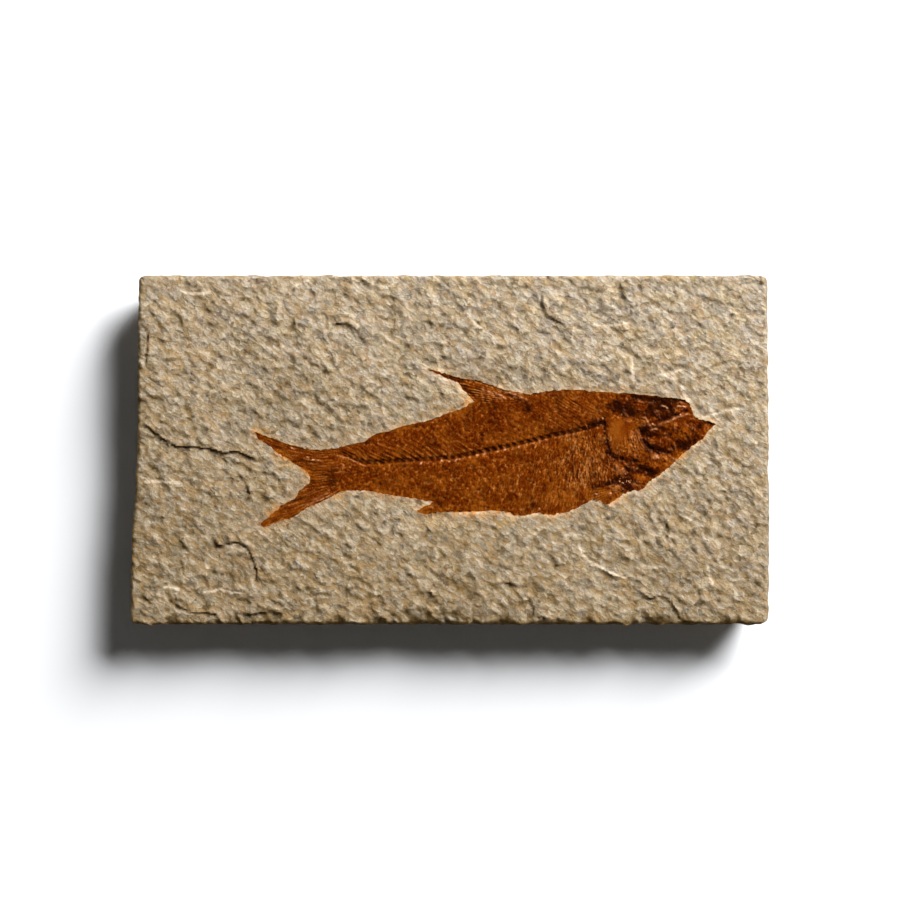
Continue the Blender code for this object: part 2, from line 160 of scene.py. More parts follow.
# Broken ledges of the face: how far the stone drops, how far the drop runs out, and the line
# that it drops away from, on the left as the line is walked
SHADED_LEDGES = [
    (0.6, 3.2, [(-40.3, -2.7), (-42.5, -2.2), (-45.0, -1.2), (-47.5, -0.2), (-49.6, -0.7), (-52.0, 0.0),
        (-56.0, 0.6), (-60.5, 0.9), (-63.0, 2.4), (-66.0, 4.6), (-68.7, 7.4)]),
    (0.42, 2.0, [(-66.9, 18.0), (-66.7, 20.5), (-66.4, 23.5), (-66.3, 25.5), (-67.2, 27.0), (-68.7, 27.8)]),
    (0.48, 2.0, [(-18.2, 22.6), (-19.0, 24.0), (-19.9, 25.2), (-20.4, 26.4), (-22.0, 27.4), (-24.0, 27.8),
        (-26.7, 27.6)]),
    (0.35, 1.4, [(-26.8, 27.9), (-27.2, 29.4), (-28.6, 30.4)]),
    (0.25, 1.2, [(-15.0, 14.2), (-16.2, 13.2), (-17.8, 11.4)]),
    (0.3, 1.2, [(-14.8, 14.0), (-15.4, 15.2), (-17.0, 17.0)]),
    (0.25, 1.2, [(-50.8, 33.3), (-51.5, 34.6)]),
    (0.55, 2.2, [(-44.4, -11.8), (-44.2, -10.0), (-44.4, -8.6), (-45.0, -7.3), (-46.7, -5.0)]),
    (0.55, 2.6, [(-41.8, -29.8), (-42.5, -28.5), (-42.6, -26.5), (-43.2, -24.5), (-44.3, -22.0),
        (-45.5, -20.9), (-47.0, -20.3), (-49.0, -20.6), (-51.0, -21.0), (-52.5, -19.3)]),
    (0.5, 2.4, [(-50.4, -37.6), (-51.5, -36.2), (-54.0, -35.9), (-56.5, -35.8), (-58.5, -35.0),
        (-60.3, -34.2), (-62.5, -32.2)]),
    (0.4, 1.6, [(-36.0, -36.0), (-40.0, -35.7), (-45.0, -36.1), (-48.0, -35.5)]),
    (0.3, 1.2, [(-28.9, -35.3), (-29.4, -33.0), (-29.2, -30.8), (-31.8, -30.3)]),
    (0.25, 1.2, [(-48.6, -5.2), (-49.6, -3.6)]),
    (0.25, 1.2, [(-51.0, -13.5), (-52.0, -11.5), (-53.3, -9.0)]),
    (0.45, 1.8, [(25.2, 27.5), (23.5, 28.3), (21.8, 29.3), (20.8, 30.3), (20.4, 32.0), (20.0, 34.6)]),
    (0.36, 1.6, [(65.0, 31.0), (64.6, 32.4), (63.8, 34.0), (63.0, 35.4)]),
    (0.3, 1.3, [(42.6, 34.8), (41.3, 36.4)]),
    (0.25, 1.2, [(39.8, 29.9), (40.0, 31.7)]),
    (0.25, 1.0, [(40.0, 16.7), (37.5, 17.8)]),
    (0.3, 1.6, [(64.5, 17.6), (63.0, 19.5), (60.0, 19.3), (57.0, 18.0), (55.0, 17.3)]),
    (0.42, 1.4, [(35.0, -13.2), (34.0, -12.0), (32.6, -11.2), (31.0, -10.4)]),
    (0.42, 1.8, [(47.4, -20.0), (48.0, -18.2), (47.7, -16.2), (46.4, -14.0), (44.7, -12.2)]),
    (0.3, 1.4, [(23.6, -26.0), (22.4, -23.4), (20.9, -22.1), (19.3, -21.7)]),
    (0.32, 1.4, [(18.0, -29.6), (15.0, -29.9), (13.0, -29.4), (10.8, -28.8)]),
    (0.42, 1.6, [(23.5, -37.8), (20.5, -37.0), (18.4, -36.4), (18.3, -35.0), (17.9, -33.5), (17.0, -32.3)]),
    (0.5, 2.2, [(52.6, -38.0), (50.4, -36.8), (50.0, -35.6), (48.8, -33.8), (47.5, -32.5), (46.0, -32.3),
        (44.0, -32.6), (42.3, -31.6), (41.0, -30.2)]),
    (0.3, 1.2, [(38.7, -30.1), (35.5, -30.3)]),
    (0.3, 1.2, [(55.0, -12.0), (53.4, -9.8)]),
    (0.3, 1.2, [(57.7, -13.0), (56.8, -10.8)]),
]
LIT_LEDGES = [
    (0.24, 1.2, [(-17.6, 37.4), (-15.6, 36.1), (-13.0, 36.0), (-11.2, 37.4)]),
    (0.24, 1.2, [(-35.0, 35.6), (-32.5, 36.8), (-30.5, 37.6)]),
    (0.24, 1.2, [(-60.0, 35.2), (-57.5, 34.5), (-55.0, 34.4), (-52.0, 34.8)]),
    (0.32, 1.6, [(-63.5, -30.5), (-61.5, -30.2), (-59.3, -30.8)]),
    (0.34, 1.6, [(-55.0, -31.6), (-53.0, -31.2), (-50.5, -30.8), (-47.5, -31.4), (-45.0, -31.7)]),
    (0.2, 1.4, [(-67.8, -7.0), (-64.5, -6.9), (-61.0, -7.2), (-58.5, -7.3)]),
    (0.2, 1.0, [(0.8, 33.8), (3.5, 31.0), (5.2, 28.2), (7.0, 26.5)]),
    (0.26, 1.4, [(31.0, 27.8), (33.5, 27.3), (37.0, 27.6), (40.0, 28.2)]),
    (0.22, 1.2, [(39.9, 21.0), (40.2, 17.0), (40.5, 14.5)]),
    (0.24, 1.4, [(45.0, 16.3), (48.0, 16.7), (52.0, 18.0)]),
    (0.28, 1.4, [(50.7, 15.0), (51.5, 12.5), (52.6, 11.0), (54.0, 9.7)]),
    (0.24, 1.4, [(55.0, 7.2), (58.0, 7.7), (61.0, 8.8), (65.0, 9.0)]),
    (0.2, 1.2, [(64.0, 36.0), (67.0, 36.2), (68.6, 34.0)]),
    (0.24, 1.2, [(25.0, -19.0), (27.0, -18.4), (28.0, -19.3)]),
    (0.36, 1.6, [(28.2, -19.5), (28.6, -21.5), (29.8, -23.6), (31.8, -25.1), (35.0, -26.8), (38.0, -28.0),
        (40.0, -27.8)]),
    (0.26, 1.4, [(42.0, -25.2), (44.0, -25.9), (46.0, -26.0)]),
    (0.26, 1.4, [(56.6, -25.0), (57.2, -27.5), (57.9, -30.0)]),
    (0.26, 1.4, [(51.5, -14.5), (53.5, -15.6), (56.0, -17.0)]),
]

# Chips struck off the rim: middle, half-length, half-depth and drop
RIM_CHIPS = [
    (-42.0, -38.6, 6.6, 3.0, 0.9),
    (-6.0, -38.6, 11.8, 3.6, 1.0),
    (44.2, -38.6, 4.6, 3.1, 0.8),
    (-69.0, 23.2, 2.6, 5.4, 0.25),
]

# Patches of the stone's colour: middle, half-length, half-height and strength. FRINGES is where
# rust has run from the film into the stone, and BURIED where no clean edge shows.
GREY_PATCHES = [
    (-59.1, -10.1, 2.5, 2.8, 1.0), (-50.2, 5.1, 4.8, 6.0, 0.8), (22.9, -22.0, 1.7, 3.0, 1.0),
    (22.0, 31.2, 1.7, 2.4, 0.8), (41.8, 34.8, 1.6, 2.2, 0.8), (65.3, 26.8, 2.4, 6.0, 0.7),
    (27.5, 19.8, 4.4, 5.6, 0.6), (6.2, 19.8, 6.0, 5.4, 0.5), (-19.8, 20.9, 2.2, 2.2, 0.6),
    (52.8, -4.4, 3.5, 3.5, 0.5), (-64.0, 38.0, 2.0, 1.4, 0.3),
]
RUST_PATCHES = [
    (-62.1, 14.9, 2.4, 2.4, 0.7), (-53.9, 33.0, 1.6, 1.6, 0.5), (-3.3, -15.8, 9.0, 2.4, 0.8),
    (-2.2, -17.8, 2.6, 2.0, 0.7), (11.5, -15.8, 2.4, 1.8, 0.9), (-35.6, -3.2, 3.2, 2.2, 0.9),
    (4.0, 10.4, 2.2, 2.2, 0.9), (-41.3, 4.2, 3.4, 1.4, 0.9), (-39.5, -17.6, 3.6, 1.6, 0.7),
    (50.3, -1.7, 1.6, 1.2, 0.8), (-14.0, 3.6, 5.0, 1.0, 0.5), (33.0, -12.0, 3.0, 1.2, 0.5),
]
FRINGES = [
    (-42.5, 3.8, 2.6, 1.8, 1.0), (-37.0, -1.4, 3.6, 2.6, 1.0), (-39.0, -13.6, 3.6, 2.6, 0.9),
    (-31.5, -4.8, 3.0, 3.0, 0.5), (4.0, 10.2, 3.2, 2.6, 1.2), (1.0, 8.8, 4.0, 2.0, 0.8),
    (6.0, -14.0, 11.0, 2.6, 0.9), (-5.0, -12.8, 4.0, 2.6, 0.6), (51.0, -0.8, 3.4, 2.4, 0.9),
    (55.5, 2.4, 3.0, 2.4, 0.6), (36.5, -11.0, 4.0, 2.0, 0.7), (-26.0, -9.8, 5.0, 1.6, 0.6),
    (-13.0, -9.8, 8.0, 1.6, 0.4), (23.0, -14.0, 7.0, 1.6, 0.5), (-10.0, 5.2, 5.0, 1.6, 0.3),
    (30.0, 12.9, 12.0, 1.4, 0.3),
]
BURIED = [(3.4, 12.0, 7.0, 6.0, 1.0), (-4.2, -11.8, 3.4, 2.4, 1.0)]


def drawn(points, steps):
    """A smooth line through the points, with straight ends."""
    knots = [np.array(point) for point in points]
    knots = [2 * knots[0] - knots[1]] + knots + [2 * knots[-1] - knots[-2]]
    line = []
    for before, start, end, after in zip(knots, knots[1:], knots[2:], knots[3:]):
        for step in range(steps):
            t = step / steps
            line.append(0.5 * (2 * start + (end - before) * t
                               + (2 * before - 5 * start + 4 * end - after) * t ** 2
                               + (3 * start - before - 3 * end + after) * t ** 3))
    return np.array(line + [knots[-2]])


def capped(value, top=1.0):
    """Hold a value between 0 and the top."""
    return np.clip(value, 0.0, top)


def ease(share):
    """Smooth step from 0 to 1."""
    share = capped(share)
    return share * share * (3.0 - 2.0 * share)


def grain(x, y, size, level, layers=1):
    """Soft noise, mostly between -0.6 and 0.6, with swells of about the size, cut at a level."""
    spots = zip((x / size).tolist(), (y / size).tolist())
    if layers == 1:
        return np.array([noise.noise((across, up, level)) for across, up in spots])
    return np.array([noise.fractal((across, up, level), 1.0, 2.0, layers) for across, up in spots])


def shaken(x, y, reach, size, level, layers=1):
    """Places pushed about by soft noise."""
    return (x + reach * grain(x, y, size, level, layers),
            y + reach * grain(x, y, size, level + 2.0, layers))


def patches(table, x, y):
    """Soft round patches, added up."""
    total = np.zeros(len(x))
    for middle_x, middle_y, half_length, half_height, strength in table:
        apart = np.hypot((x - middle_x) / half_length, (y - middle_y) / half_height)
        total += strength * (1.0 - ease(apart))
    return total


def fringe_strength(x, y):
    """How strongly rust has run from the film into the stone here."""
    broken = capped(0.75 + 1.5 * grain(x, y, 1.1, 68.0, 2), 1.3)
    return (0.25 + patches(FRINGES, x, y)) * broken


def tree_of(across, up):
    """A search tree over these places."""
    tree = KDTree(len(across))
    for index, (place_x, place_y) in enumerate(zip(across.tolist(), up.tolist())):
        tree.insert((place_x, place_y, 0.0), index)
    tree.balance()
    return tree


def near_line(line, x, y, reach):
    """The points within reach of a line: which, how far off, on which side and how far along."""
    low = line.min(axis=0) - reach
    high = line.max(axis=0) + reach
    near = np.flatnonzero((x > low[0]) & (x < high[0]) & (y > low[1]) & (y < high[1]))
    gap = np.full(len(near), float(reach))
    side = np.ones(len(near))
    travel = np.zeros(len(near))
    walked = 0.0
    for start, end in zip(line, line[1:]):
        run = end - start
        length = max(np.hypot(*run), 1e-9)
        across = x[near] - start[0]
        up = y[near] - start[1]
        share = capped((across * run[0] + up * run[1]) / length ** 2)
        distance = np.hypot(across - share * run[0], up - share * run[1])
        closer = distance < gap
        gap[closer] = distance[closer]
        side[closer] = np.sign(run[0] * up - run[1] * across)[closer]
        travel[closer] = walked + share[closer] * length
        walked += length
    return near, gap, side, travel / walked


def corners(piece):
    """Places of a piece's vertices in millimetres."""
    spots = np.empty(len(piece.data.vertices) * 3, dtype=np.float32)
    piece.data.vertices.foreach_get("co", spots)
    return spots.reshape(-1, 3).astype(float) / MM


def place_corners(piece, spots):
    """Put a piece's vertices at these places."""
    piece.data.vertices.foreach_set("co", (spots * MM).astype(np.float32).ravel())
    piece.data.update()


def smoothed(piece, spots, crease):
    """Place and smooth a piece's vertices, sharp past the crease's angle, and give their facings."""
    place_corners(piece, spots)
    bpy.ops.object.shade_smooth()
    piece.data.set_sharp_from_angle(angle=math.radians(crease))
    facing = np.empty(len(spots) * 3, dtype=np.float32)
    piece.data.vertex_normals.foreach_get("vector", facing)
    return facing.reshape(-1, 3)


def paint(piece, name, where, values):
    """Keep a number for these vertices, and 0 for the others, for the material to read."""
    everywhere = np.zeros(len(where))
    everywhere[where] = values
    layer = piece.data.attributes.new(name, "FLOAT", "POINT")
    layer.data.foreach_set("value", capped(everywhere).astype(np.float32))


def leave_edit_mode():
    """Turn the faces of the mesh in edit mode outward, and leave edit mode."""
    bpy.ops.mesh.select_all(action="SELECT")
    bpy.ops.mesh.normals_make_consistent(inside=False)
    bpy.ops.object.mode_set(mode="OBJECT")


def wall_down(levels):
    """Carry the open rim of the sheet in edit mode down to each level in turn, and close it."""
    bpy.ops.object.mode_set(mode="EDIT")
    bpy.ops.mesh.select_mode(type="EDGE")
    bpy.ops.mesh.select_all(action="DESELECT")
    bpy.ops.mesh.select_non_manifold()
    height = FACE
    for level in levels:
        step_down = (0.0, 0.0, (level - height) * MM)
        bpy.ops.mesh.extrude_edges_move(TRANSFORM_OT_translate={"value": step_down})
        height = level
    bpy.ops.mesh.edge_face_add()
    leave_edit_mode()


def cut_to_fish(piece, operation):
    """Cut the outline of the fish out of a piece, or keep only what is inside it."""
    bpy.ops.object.select_all(action="DESELECT")
    bpy.ops.mesh.primitive_circle_add(vertices=len(fish_line), fill_type="NGON")
    cutter = bpy.context.object
    floor = np.full(len(fish_line), POCKET_FLOOR)
    place_corners(cutter, np.column_stack([fish_line, floor]))
    bpy.ops.object.mode_set(mode="EDIT")
    bpy.ops.mesh.select_all(action="SELECT")
    bpy.ops.mesh.extrude_region_move(TRANSFORM_OT_translate={"value": (0.0, 0.0, CUTTER_HEIGHT * MM)})
    leave_edit_mode()
    bpy.ops.object.select_all(action="DESELECT")
    bpy.context.view_layer.objects.active = piece
    piece.select_set(True)
    cut = piece.modifiers.new("fish", "BOOLEAN")
    cut.operation = operation
    cut.solver = "MANIFOLD"
    cut.object = cutter
    bpy.ops.object.modifier_apply(modifier=cut.name)
    bpy.data.objects.remove(cutter, do_unlink=True)


fish_line = np.concatenate([drawn(stroke, 10)[:-1] for _, stroke in OUTLINE])
fish_line = np.column_stack(shaken(*fish_line.T, 0.3, 0.8, 101.0, 2))
outline_tree = tree_of(*fish_line.T)
outline_run = np.roll(fish_line, -1, axis=0) - np.roll(fish_line, 1, axis=0)
outline_run /= np.hypot(outline_run[:, 0], outline_run[:, 1])[:, None]


def outline_gap(x, y):
    """Distance to the outline of the fish, and how far the outline there faces up the slab."""
    nearest = np.array([outline_tree.find((across, up, 0.0))[1]
                        for across, up in zip(x.tolist(), y.tolist())])
    gap = np.full(len(x), np.inf)
    for offset in (-1, 0):
        start = fish_line[(nearest + offset) % len(fish_line)]
        run = fish_line[(nearest + offset + 1) % len(fish_line)] - start
        across = x - start[:, 0]
        up = y - start[:, 1]
        share = capped((across * run[:, 0] + up * run[:, 1]) / (run ** 2).sum(axis=1))
        gap = np.minimum(gap, np.hypot(across - share * run[:, 0], up - share * run[:, 1]))
    return gap, -outline_run[nearest, 0]


bpy.ops.object.select_all(action="DESELECT")
bpy.ops.mesh.primitive_grid_add(x_subdivisions=round(SLAB_LENGTH / CELL),
                                y_subdivisions=round(2.0 * SLAB_HALF_WIDTH / CELL), size=2)
slab = bpy.context.object
slab.name = "pecked_slab"
spots = corners(slab) * MM
up = spots[:, 1] * SLAB_HALF_WIDTH
past = capped(np.abs(up) - (SLAB_HALF_WIDTH - CORNER_RADIUS), CORNER_RADIUS)
round_off = CORNER_RADIUS - np.sqrt(np.maximum(CORNER_RADIUS ** 2 - past ** 2, 0.0))
left = np.interp(up, *zip(*LEFT_EDGE)) + round_off + 0.25 * grain(up, 0.0 * up, 3.1, 21.0, 3)
right = np.interp(up, *zip(*RIGHT_EDGE)) - round_off + 0.22 * grain(up, 0.0 * up, 3.1, 22.0, 3)
across = left + (right - left) * (spots[:, 0] + 1.0) / 2.0
top_share = (up / SLAB_HALF_WIDTH + 1.0) / 2.0
up += 0.3 * top_share * grain(across, 0.0 * up, 4.2, 23.0, 3)
up += 0.34 * (1.0 - top_share) * grain(across, 0.0 * up, 3.4, 24.0, 3)
place_corners(slab, np.column_stack([across, up, np.full(len(up), FACE)]))
wall_down(WALL_LEVELS)
cut_to_fish(slab, "DIFFERENCE")

spots = corners(slab)
on_face = spots[:, 2] > FACE - 0.01
x, y = spots[on_face, 0], spots[on_face, 1]
gap, faces_up = outline_gap(x, y)
to_left = x - np.interp(y, *zip(*LEFT_EDGE))
to_right = np.interp(y, *zip(*RIGHT_EDGE)) - x
to_rim = np.minimum(np.minimum(to_left, to_right), SLAB_HALF_WIDTH - np.abs(y))

# The chisel left short steps that run from upper left to lower right, each one rising sharply
# on its lower left and falling slowly the other way.
toward = math.sin(STROKE_TURN) * x + math.cos(STROKE_TURN) * y
beside = (math.cos(STROKE_TURN) * x - math.sin(STROKE_TURN) * y) / STROKE_STRETCH
pecks = 0.42 * grain(toward, beside, 1.5, 1.0, 2) + 0.22 * grain(x, y, 3.2, 9.0, 2)
peck_tree = tree_of(toward, beside)
chance = np.random.default_rng(7)
for across, up in chance.uniform((-80.0, -60.0), (80.0, 60.0), (SCOOPS, 2)).tolist():
    radius = SCOOP_RADIUS + min(chance.exponential(0.3), 1.1)
    found = np.array([index for _, index, _ in peck_tree.find_range((across, up, 0.0), radius * 1.3)])
    if len(found) > 3:
        fall = chance.normal(STROKE_FALL, 0.24)
        lean = chance.normal(0.0, 0.24)
        away, along = toward[found] - across, beside[found] - up
        bowl = pecks[found].mean() - 0.07 * radius * chance.uniform(0.2, 1.6)
        bowl = bowl - fall * away + lean * along + 0.1 * (away ** 2 + along ** 2) / radius
        pecks[found] = np.clip(bowl, pecks[found] - SCOOP_BITE, pecks[found])
pecks -= pecks.mean()
pecks = PECK_HEIGHT * np.where(pecks < 0.0, PECK_DEPTH * np.tanh(pecks / PECK_DEPTH), pecks)
calm = 0.6 + 0.4 * ease((gap - 0.3) / 3.0)
level = FACE + 0.5 * grain(x, y, 19.0, 3.0) + pecks * calm

# A shallow dish round the fish, and a lip that falls to the edge of the film
dish = DISH_DEPTH * (1.0 - ease(gap / DISH_REACH))
lip_reach = np.where(faces_up > 0.0, 0.9, 0.8)
lip_foot = 0.03 + 0.04 * ease(0.5 + 0.9 * faces_up)
rise = ease(gap / lip_reach)
level = (FISH_EDGE + lip_foot) * (1.0 - rise) + (level - dish) * rise

# Ledges. A shaded one gets a dark line of painted shade, and a lit one a pale line of painted highlight.
shade_line = np.zeros(len(x))
highlight_line = np.zeros(len(x))
for drop, run_out, points in SHADED_LEDGES + LIT_LEDGES:
    near, off, side, travel = near_line(drawn(points, 4), x, y, 3.0 * run_out)
    ends = capped(np.minimum(travel, 1.0 - travel) * 9.0)
    slope = np.where(side > 0.0, np.exp(-off / run_out), 0.0)
    level[near] -= 0.44 * drop * ends * slope * (off < 3.0 * run_out)
    level[near] += 0.25 * drop * ends * np.exp(-off / 0.6) * (side < 0.0)
    lit = (drop, run_out, points) in LIT_LEDGES
    wander = off + side * (0.16 if lit else 0.28) * grain(x[near], y[near], 0.9, 31.0)
    line_width = 0.3 if lit else 0.16 + 0.14 * drop
    trace = ends * np.exp(-((wander - (0.0 if lit else 0.15)) / line_width) ** 2)
    broken = 0.9 + (0.6 if lit else 1.3) * grain(x[near], y[near], 1.6, 33.0)
    trace *= np.clip(broken, 0.15, 1.0)
    trace *= min(0.75, drop + 0.5) if lit else min(1.0, 2.0 * drop + 0.25)
    kept = highlight_line if lit else shade_line
    kept[near] = np.maximum(kept[near], trace)

# Chips off the rim, its worn edge, and ragged bites out of the lower side
for middle_x, middle_y, half_length, half_depth, drop in RIM_CHIPS:
    apart = np.hypot((x - middle_x) / half_length, (y - middle_y) / half_depth)
    apart += 0.35 * grain(x, y, 1.8, 41.0)
    level -= drop * capped(1.0 - apart) ** 0.8
level -= RIM_WEAR * capped(1.0 - to_rim / 0.7) ** 2
columns = np.arange(x.min(), x.max() + CELL, CELL)
foot_line = np.array([y[np.abs(x - column) < CELL].min() for column in columns])
to_foot = y - foot_line[np.clip(((x - x.min()) / CELL).astype(int), 0, len(foot_line) - 1)]
bite = 0.85 + 1.9 * grain(x, 0.0 * x, 4.6, 26.0, 3) + 0.6 * grain(x, y, 0.9, 27.0)
level -= RIM_WEAR * capped(bite - to_foot, 1.8)
level = np.minimum(level, HIGHEST)
# A dark line of painted shade along the right rim
shade_line = np.maximum(shade_line, 0.75 * np.exp(-(to_right / 0.28) ** 2))

# The side walls follow the rim above them, with fine laminae, and lean in towards the foot
spots[on_face, 2] = level
wall = ~on_face & (np.abs(spots[:, 2] - POCKET_FLOOR) > MM)
at_rim = np.flatnonzero(to_rim < 3.0)
rim_tree = tree_of(x[at_rim], y[at_rim])
rim_above = [rim_tree.find((across, up, 0.0))[1] for across, up in spots[wall, :2].tolist()]
spots[wall, 2] *= level[at_rim[rim_above]] / FACE
wx, wy, wz = spots[wall].T
along = wx + wy
inward = 0.16 * np.abs(grain(along / 6.0, wz, 0.42, 51.0))
inward += 0.22 * np.abs(grain(along, wz, 2.6, 53.0))
inward += UNDERCUT * ease(1.0 - wz / 8.0)
spots[wall, 0] -= inward * wx / wx.max()
spots[wall, 1] -= inward * wy / wy.max()
facing = smoothed(slab, spots, STONE_CREASE)[on_face]

# What the material reads: painted shade in the hollows and on the sides away from the lamp, painted
# highlight on the crests, patches of grey and rust, the stain and the clean rim round the fish, the
# painted lines of shade and highlight along the ledges, and painted shade towards the lower left
clean = np.exp(-((gap - 0.2) / 0.34) ** 2) * capped(0.6 + 1.8 * grain(x, y, 2.6, 69.0, 2))
clean *= 0.1 + 0.9 * ease((x + 16.0) / 10.0) * (1.0 - patches(BURIED, x, y))
# Painted shade, stronger towards the lower left and near the foot of the lower rim
falloff_shade = ease(0.565 - (0.4 * x + 1.34 * y) / 150.0) + 0.3 * capped(1.0 - to_foot / 3.0)
for name, values in {
    # Painted shade in the low parts of the pecking
    "hollow_shade": -1.3 * pecks * calm - 0.08,
    # Painted shade on the sides that face away from the lamp
    "lee": 2.0 * capped(-LAMP_SIDE[0] * facing[:, 0] - LAMP_SIDE[1] * facing[:, 1], 0.5),
    # Painted highlight on the high parts of the pecking
    "crest_highlight": 1.6 * pecks * calm - 0.12,
    "grey": patches(GREY_PATCHES, *shaken(x, y, 1.2, 2.0, 61.0)),
    "rust": patches(RUST_PATCHES, *shaken(x, y, 1.0, 1.4, 65.0)),
    "stain": fringe_strength(x, y) * np.exp(-gap),
    "clean": clean,
    "shade_line": shade_line,
    "highlight_line": highlight_line,
    "falloff_shade": falloff_shade,
}.items():
    paint(slab, name, on_face, values)
paint(slab, "wall", ~on_face, 1.0)


class Wire:
    """One value in a material's node tree. Arithmetic on it adds the Math nodes."""

    tree = None

    def __init__(self, socket):
        self.socket = socket

    @classmethod
    def node(cls, kind, settings=None, inputs=None, output=0):
        """Add a node: its settings first, then the values or wires of its sockets."""
        made = cls.tree.nodes.new(kind)
        for name, value in (settings or {}).items():
            setattr(made, name, value)
        for name, value in (inputs or {}).items():
            if isinstance(value, Wire):
                cls.tree.links.new(value.socket, made.inputs[name])
            elif isinstance(value, tuple) and len(value) == 3 and made.inputs[name].type == "RGBA":
                made.inputs[name].default_value = (*value, 1.0)
            else:
                made.inputs[name].default_value = value
        return cls(made.outputs[output])

    def math(self, operation, first, second=0.0):
        return Wire.node("ShaderNodeMath", {"operation": operation}, {0: first, 1: second})

    def __add__(self, other):
        return self.math("ADD", self, other)

    def __sub__(self, other):
        return self.math("SUBTRACT", self, other)

    def __rsub__(self, other):
        return self.math("SUBTRACT", other, self)

    def __mul__(self, other):
        return self.math("MULTIPLY", self, other)

    __radd__ = __add__
    __rmul__ = __mul__


def start_material(piece, name):
    """Give a piece a new material, with its tree open for wires, and return its shader."""
    material = bpy.data.materials.new(name)
    material.use_nodes = True
    piece.data.materials.clear()
    piece.data.materials.append(material)
    Wire.tree = material.node_tree
    return material.node_tree.nodes["Principled BSDF"]


def painted(name):
    """The number kept on the piece under this name."""
    return Wire.node("ShaderNodeAttribute", {"attribute_name": name}, output=2)


def speckle(size, detail=2.0, roughness=0.5, stretch=(1.0, 1.0, 1.0), turn=0.0):
    """Noise from 0 to 1 with swells of the size in millimetres."""
    place = Wire.node("ShaderNodeTexCoord", output=3)
    place = Wire.node("ShaderNodeVectorRotate", {}, {"Vector": place, "Angle": turn})
    place = Wire.node("ShaderNodeMapping", {}, {"Vector": place, "Scale": stretch})
    return Wire.node("ShaderNodeTexNoise", {}, {"Vector": place, "Scale": 1.0 / (size * MM),
                                                "Detail": detail, "Roughness": roughness})


def spread(value, low, high):
    """Stretch a value so that low becomes 0 and high becomes 1."""
    return Wire.node("ShaderNodeMapRange", {}, {"Value": value, "From Min": low, "From Max": high})


def blend(amount, first, second, mode="MIX"):
    """Mix two colours."""
    return Wire.node("ShaderNodeMix", {"data_type": "RGBA", "blend_type": mode},
                     {0: amount, 6: first, 7: second}, output=2)


def coated(tint, coats):
    """Lay coats of colour over a tint, one by one, each as strong as its amount."""
    for amount, colour in coats:
        tint = blend(amount, tint, colour)
    return tint


def bump_into(shader, height, strength, depth):
    """Wire a height into the shader as fine relief."""
    bumps = Wire.node("ShaderNodeBump", {}, {"Height": height, "Strength": strength, "Distance": depth})
    Wire.tree.links.new(bumps.socket, shader.inputs["Normal"])


def on_vectors(operation, first, second, output=0):
    """Vector arithmetic."""
    return Wire.node("ShaderNodeVectorMath", {"operation": operation}, {0: first, 1: second}, output)


def steps(size):
    """Height of small overlapping steps of about the size, that run like the chisel's strokes."""
    wide = size * MM
    place = Wire.node("ShaderNodeTexCoord", output=3)
    waves = Wire.node("ShaderNodeTexNoise", {}, {"Vector": place, "Scale": 0.7 / wide, "Detail": 2.0}, 1)
    place = on_vectors("ADD", place, on_vectors("MULTIPLY", waves, (1.1 * wide, 1.1 * wide, 1.1 * wide)))
    place = Wire.node("ShaderNodeVectorRotate", {}, {"Vector": place, "Angle": STROKE_TURN - math.pi / 2.0})
    place = on_vectors("MULTIPLY", place, (1.0 / wide, 1.0 / (wide * STROKE_STRETCH), 1.0 / wide))
    cells = Wire.node("ShaderNodeTexVoronoi", {}, {"Vector": place, "Scale": 1.0}, output=2)
    tilt = on_vectors("SUBTRACT", Wire(cells.socket.node.outputs[1]), (0.78, 0.5, 0.5))
    return on_vectors("DOT_PRODUCT", tilt, on_vectors("SUBTRACT", place, cells), output=1)


# Colours of painted shade in the low parts of the chisel steps, and of painted highlight on the high grain
# and crests
CREVICE_SHADE = (0.172, 0.092, 0.02)
CREST_HIGHLIGHT = (0.56, 0.495, 0.4)

stone_shader = start_material(slab, "pecked_limestone")
grit = speckle(0.8, 5.0, 0.75, (1.35, 0.75, 1.0), STROKE_TURN - math.pi / 2.0)
coarse, fine = steps(1.7), steps(0.8)
tint = blend(spread(speckle(7.0, 3.0), 0.36, 0.64), (0.34, 0.294, 0.221), (0.386, 0.337, 0.262))
tint = coated(tint, [
    (spread(speckle(2.9, 3.0), 0.5, 0.66) * 0.5, (0.372, 0.29, 0.214)),
    (spread(speckle(2.2, 3.0), 0.5, 0.66) * 0.5, (0.292, 0.242, 0.142)),
    (painted("grey") * 0.6 + spread(speckle(3.6, 2.0), 0.56, 0.7) * 0.5, (0.322, 0.282, 0.246)),
])
hue = blend(spread(speckle(4.6, 4.0, 0.55), 0.38, 0.62), (1.025, 0.992, 0.9), (0.975, 1.015, 1.11))
tint = blend(1.0, tint, hue, "MULTIPLY")
lamina = spread(speckle(1.0, 3.0, stretch=(0.04, 0.04, 2.2)), 0.45, 0.62)
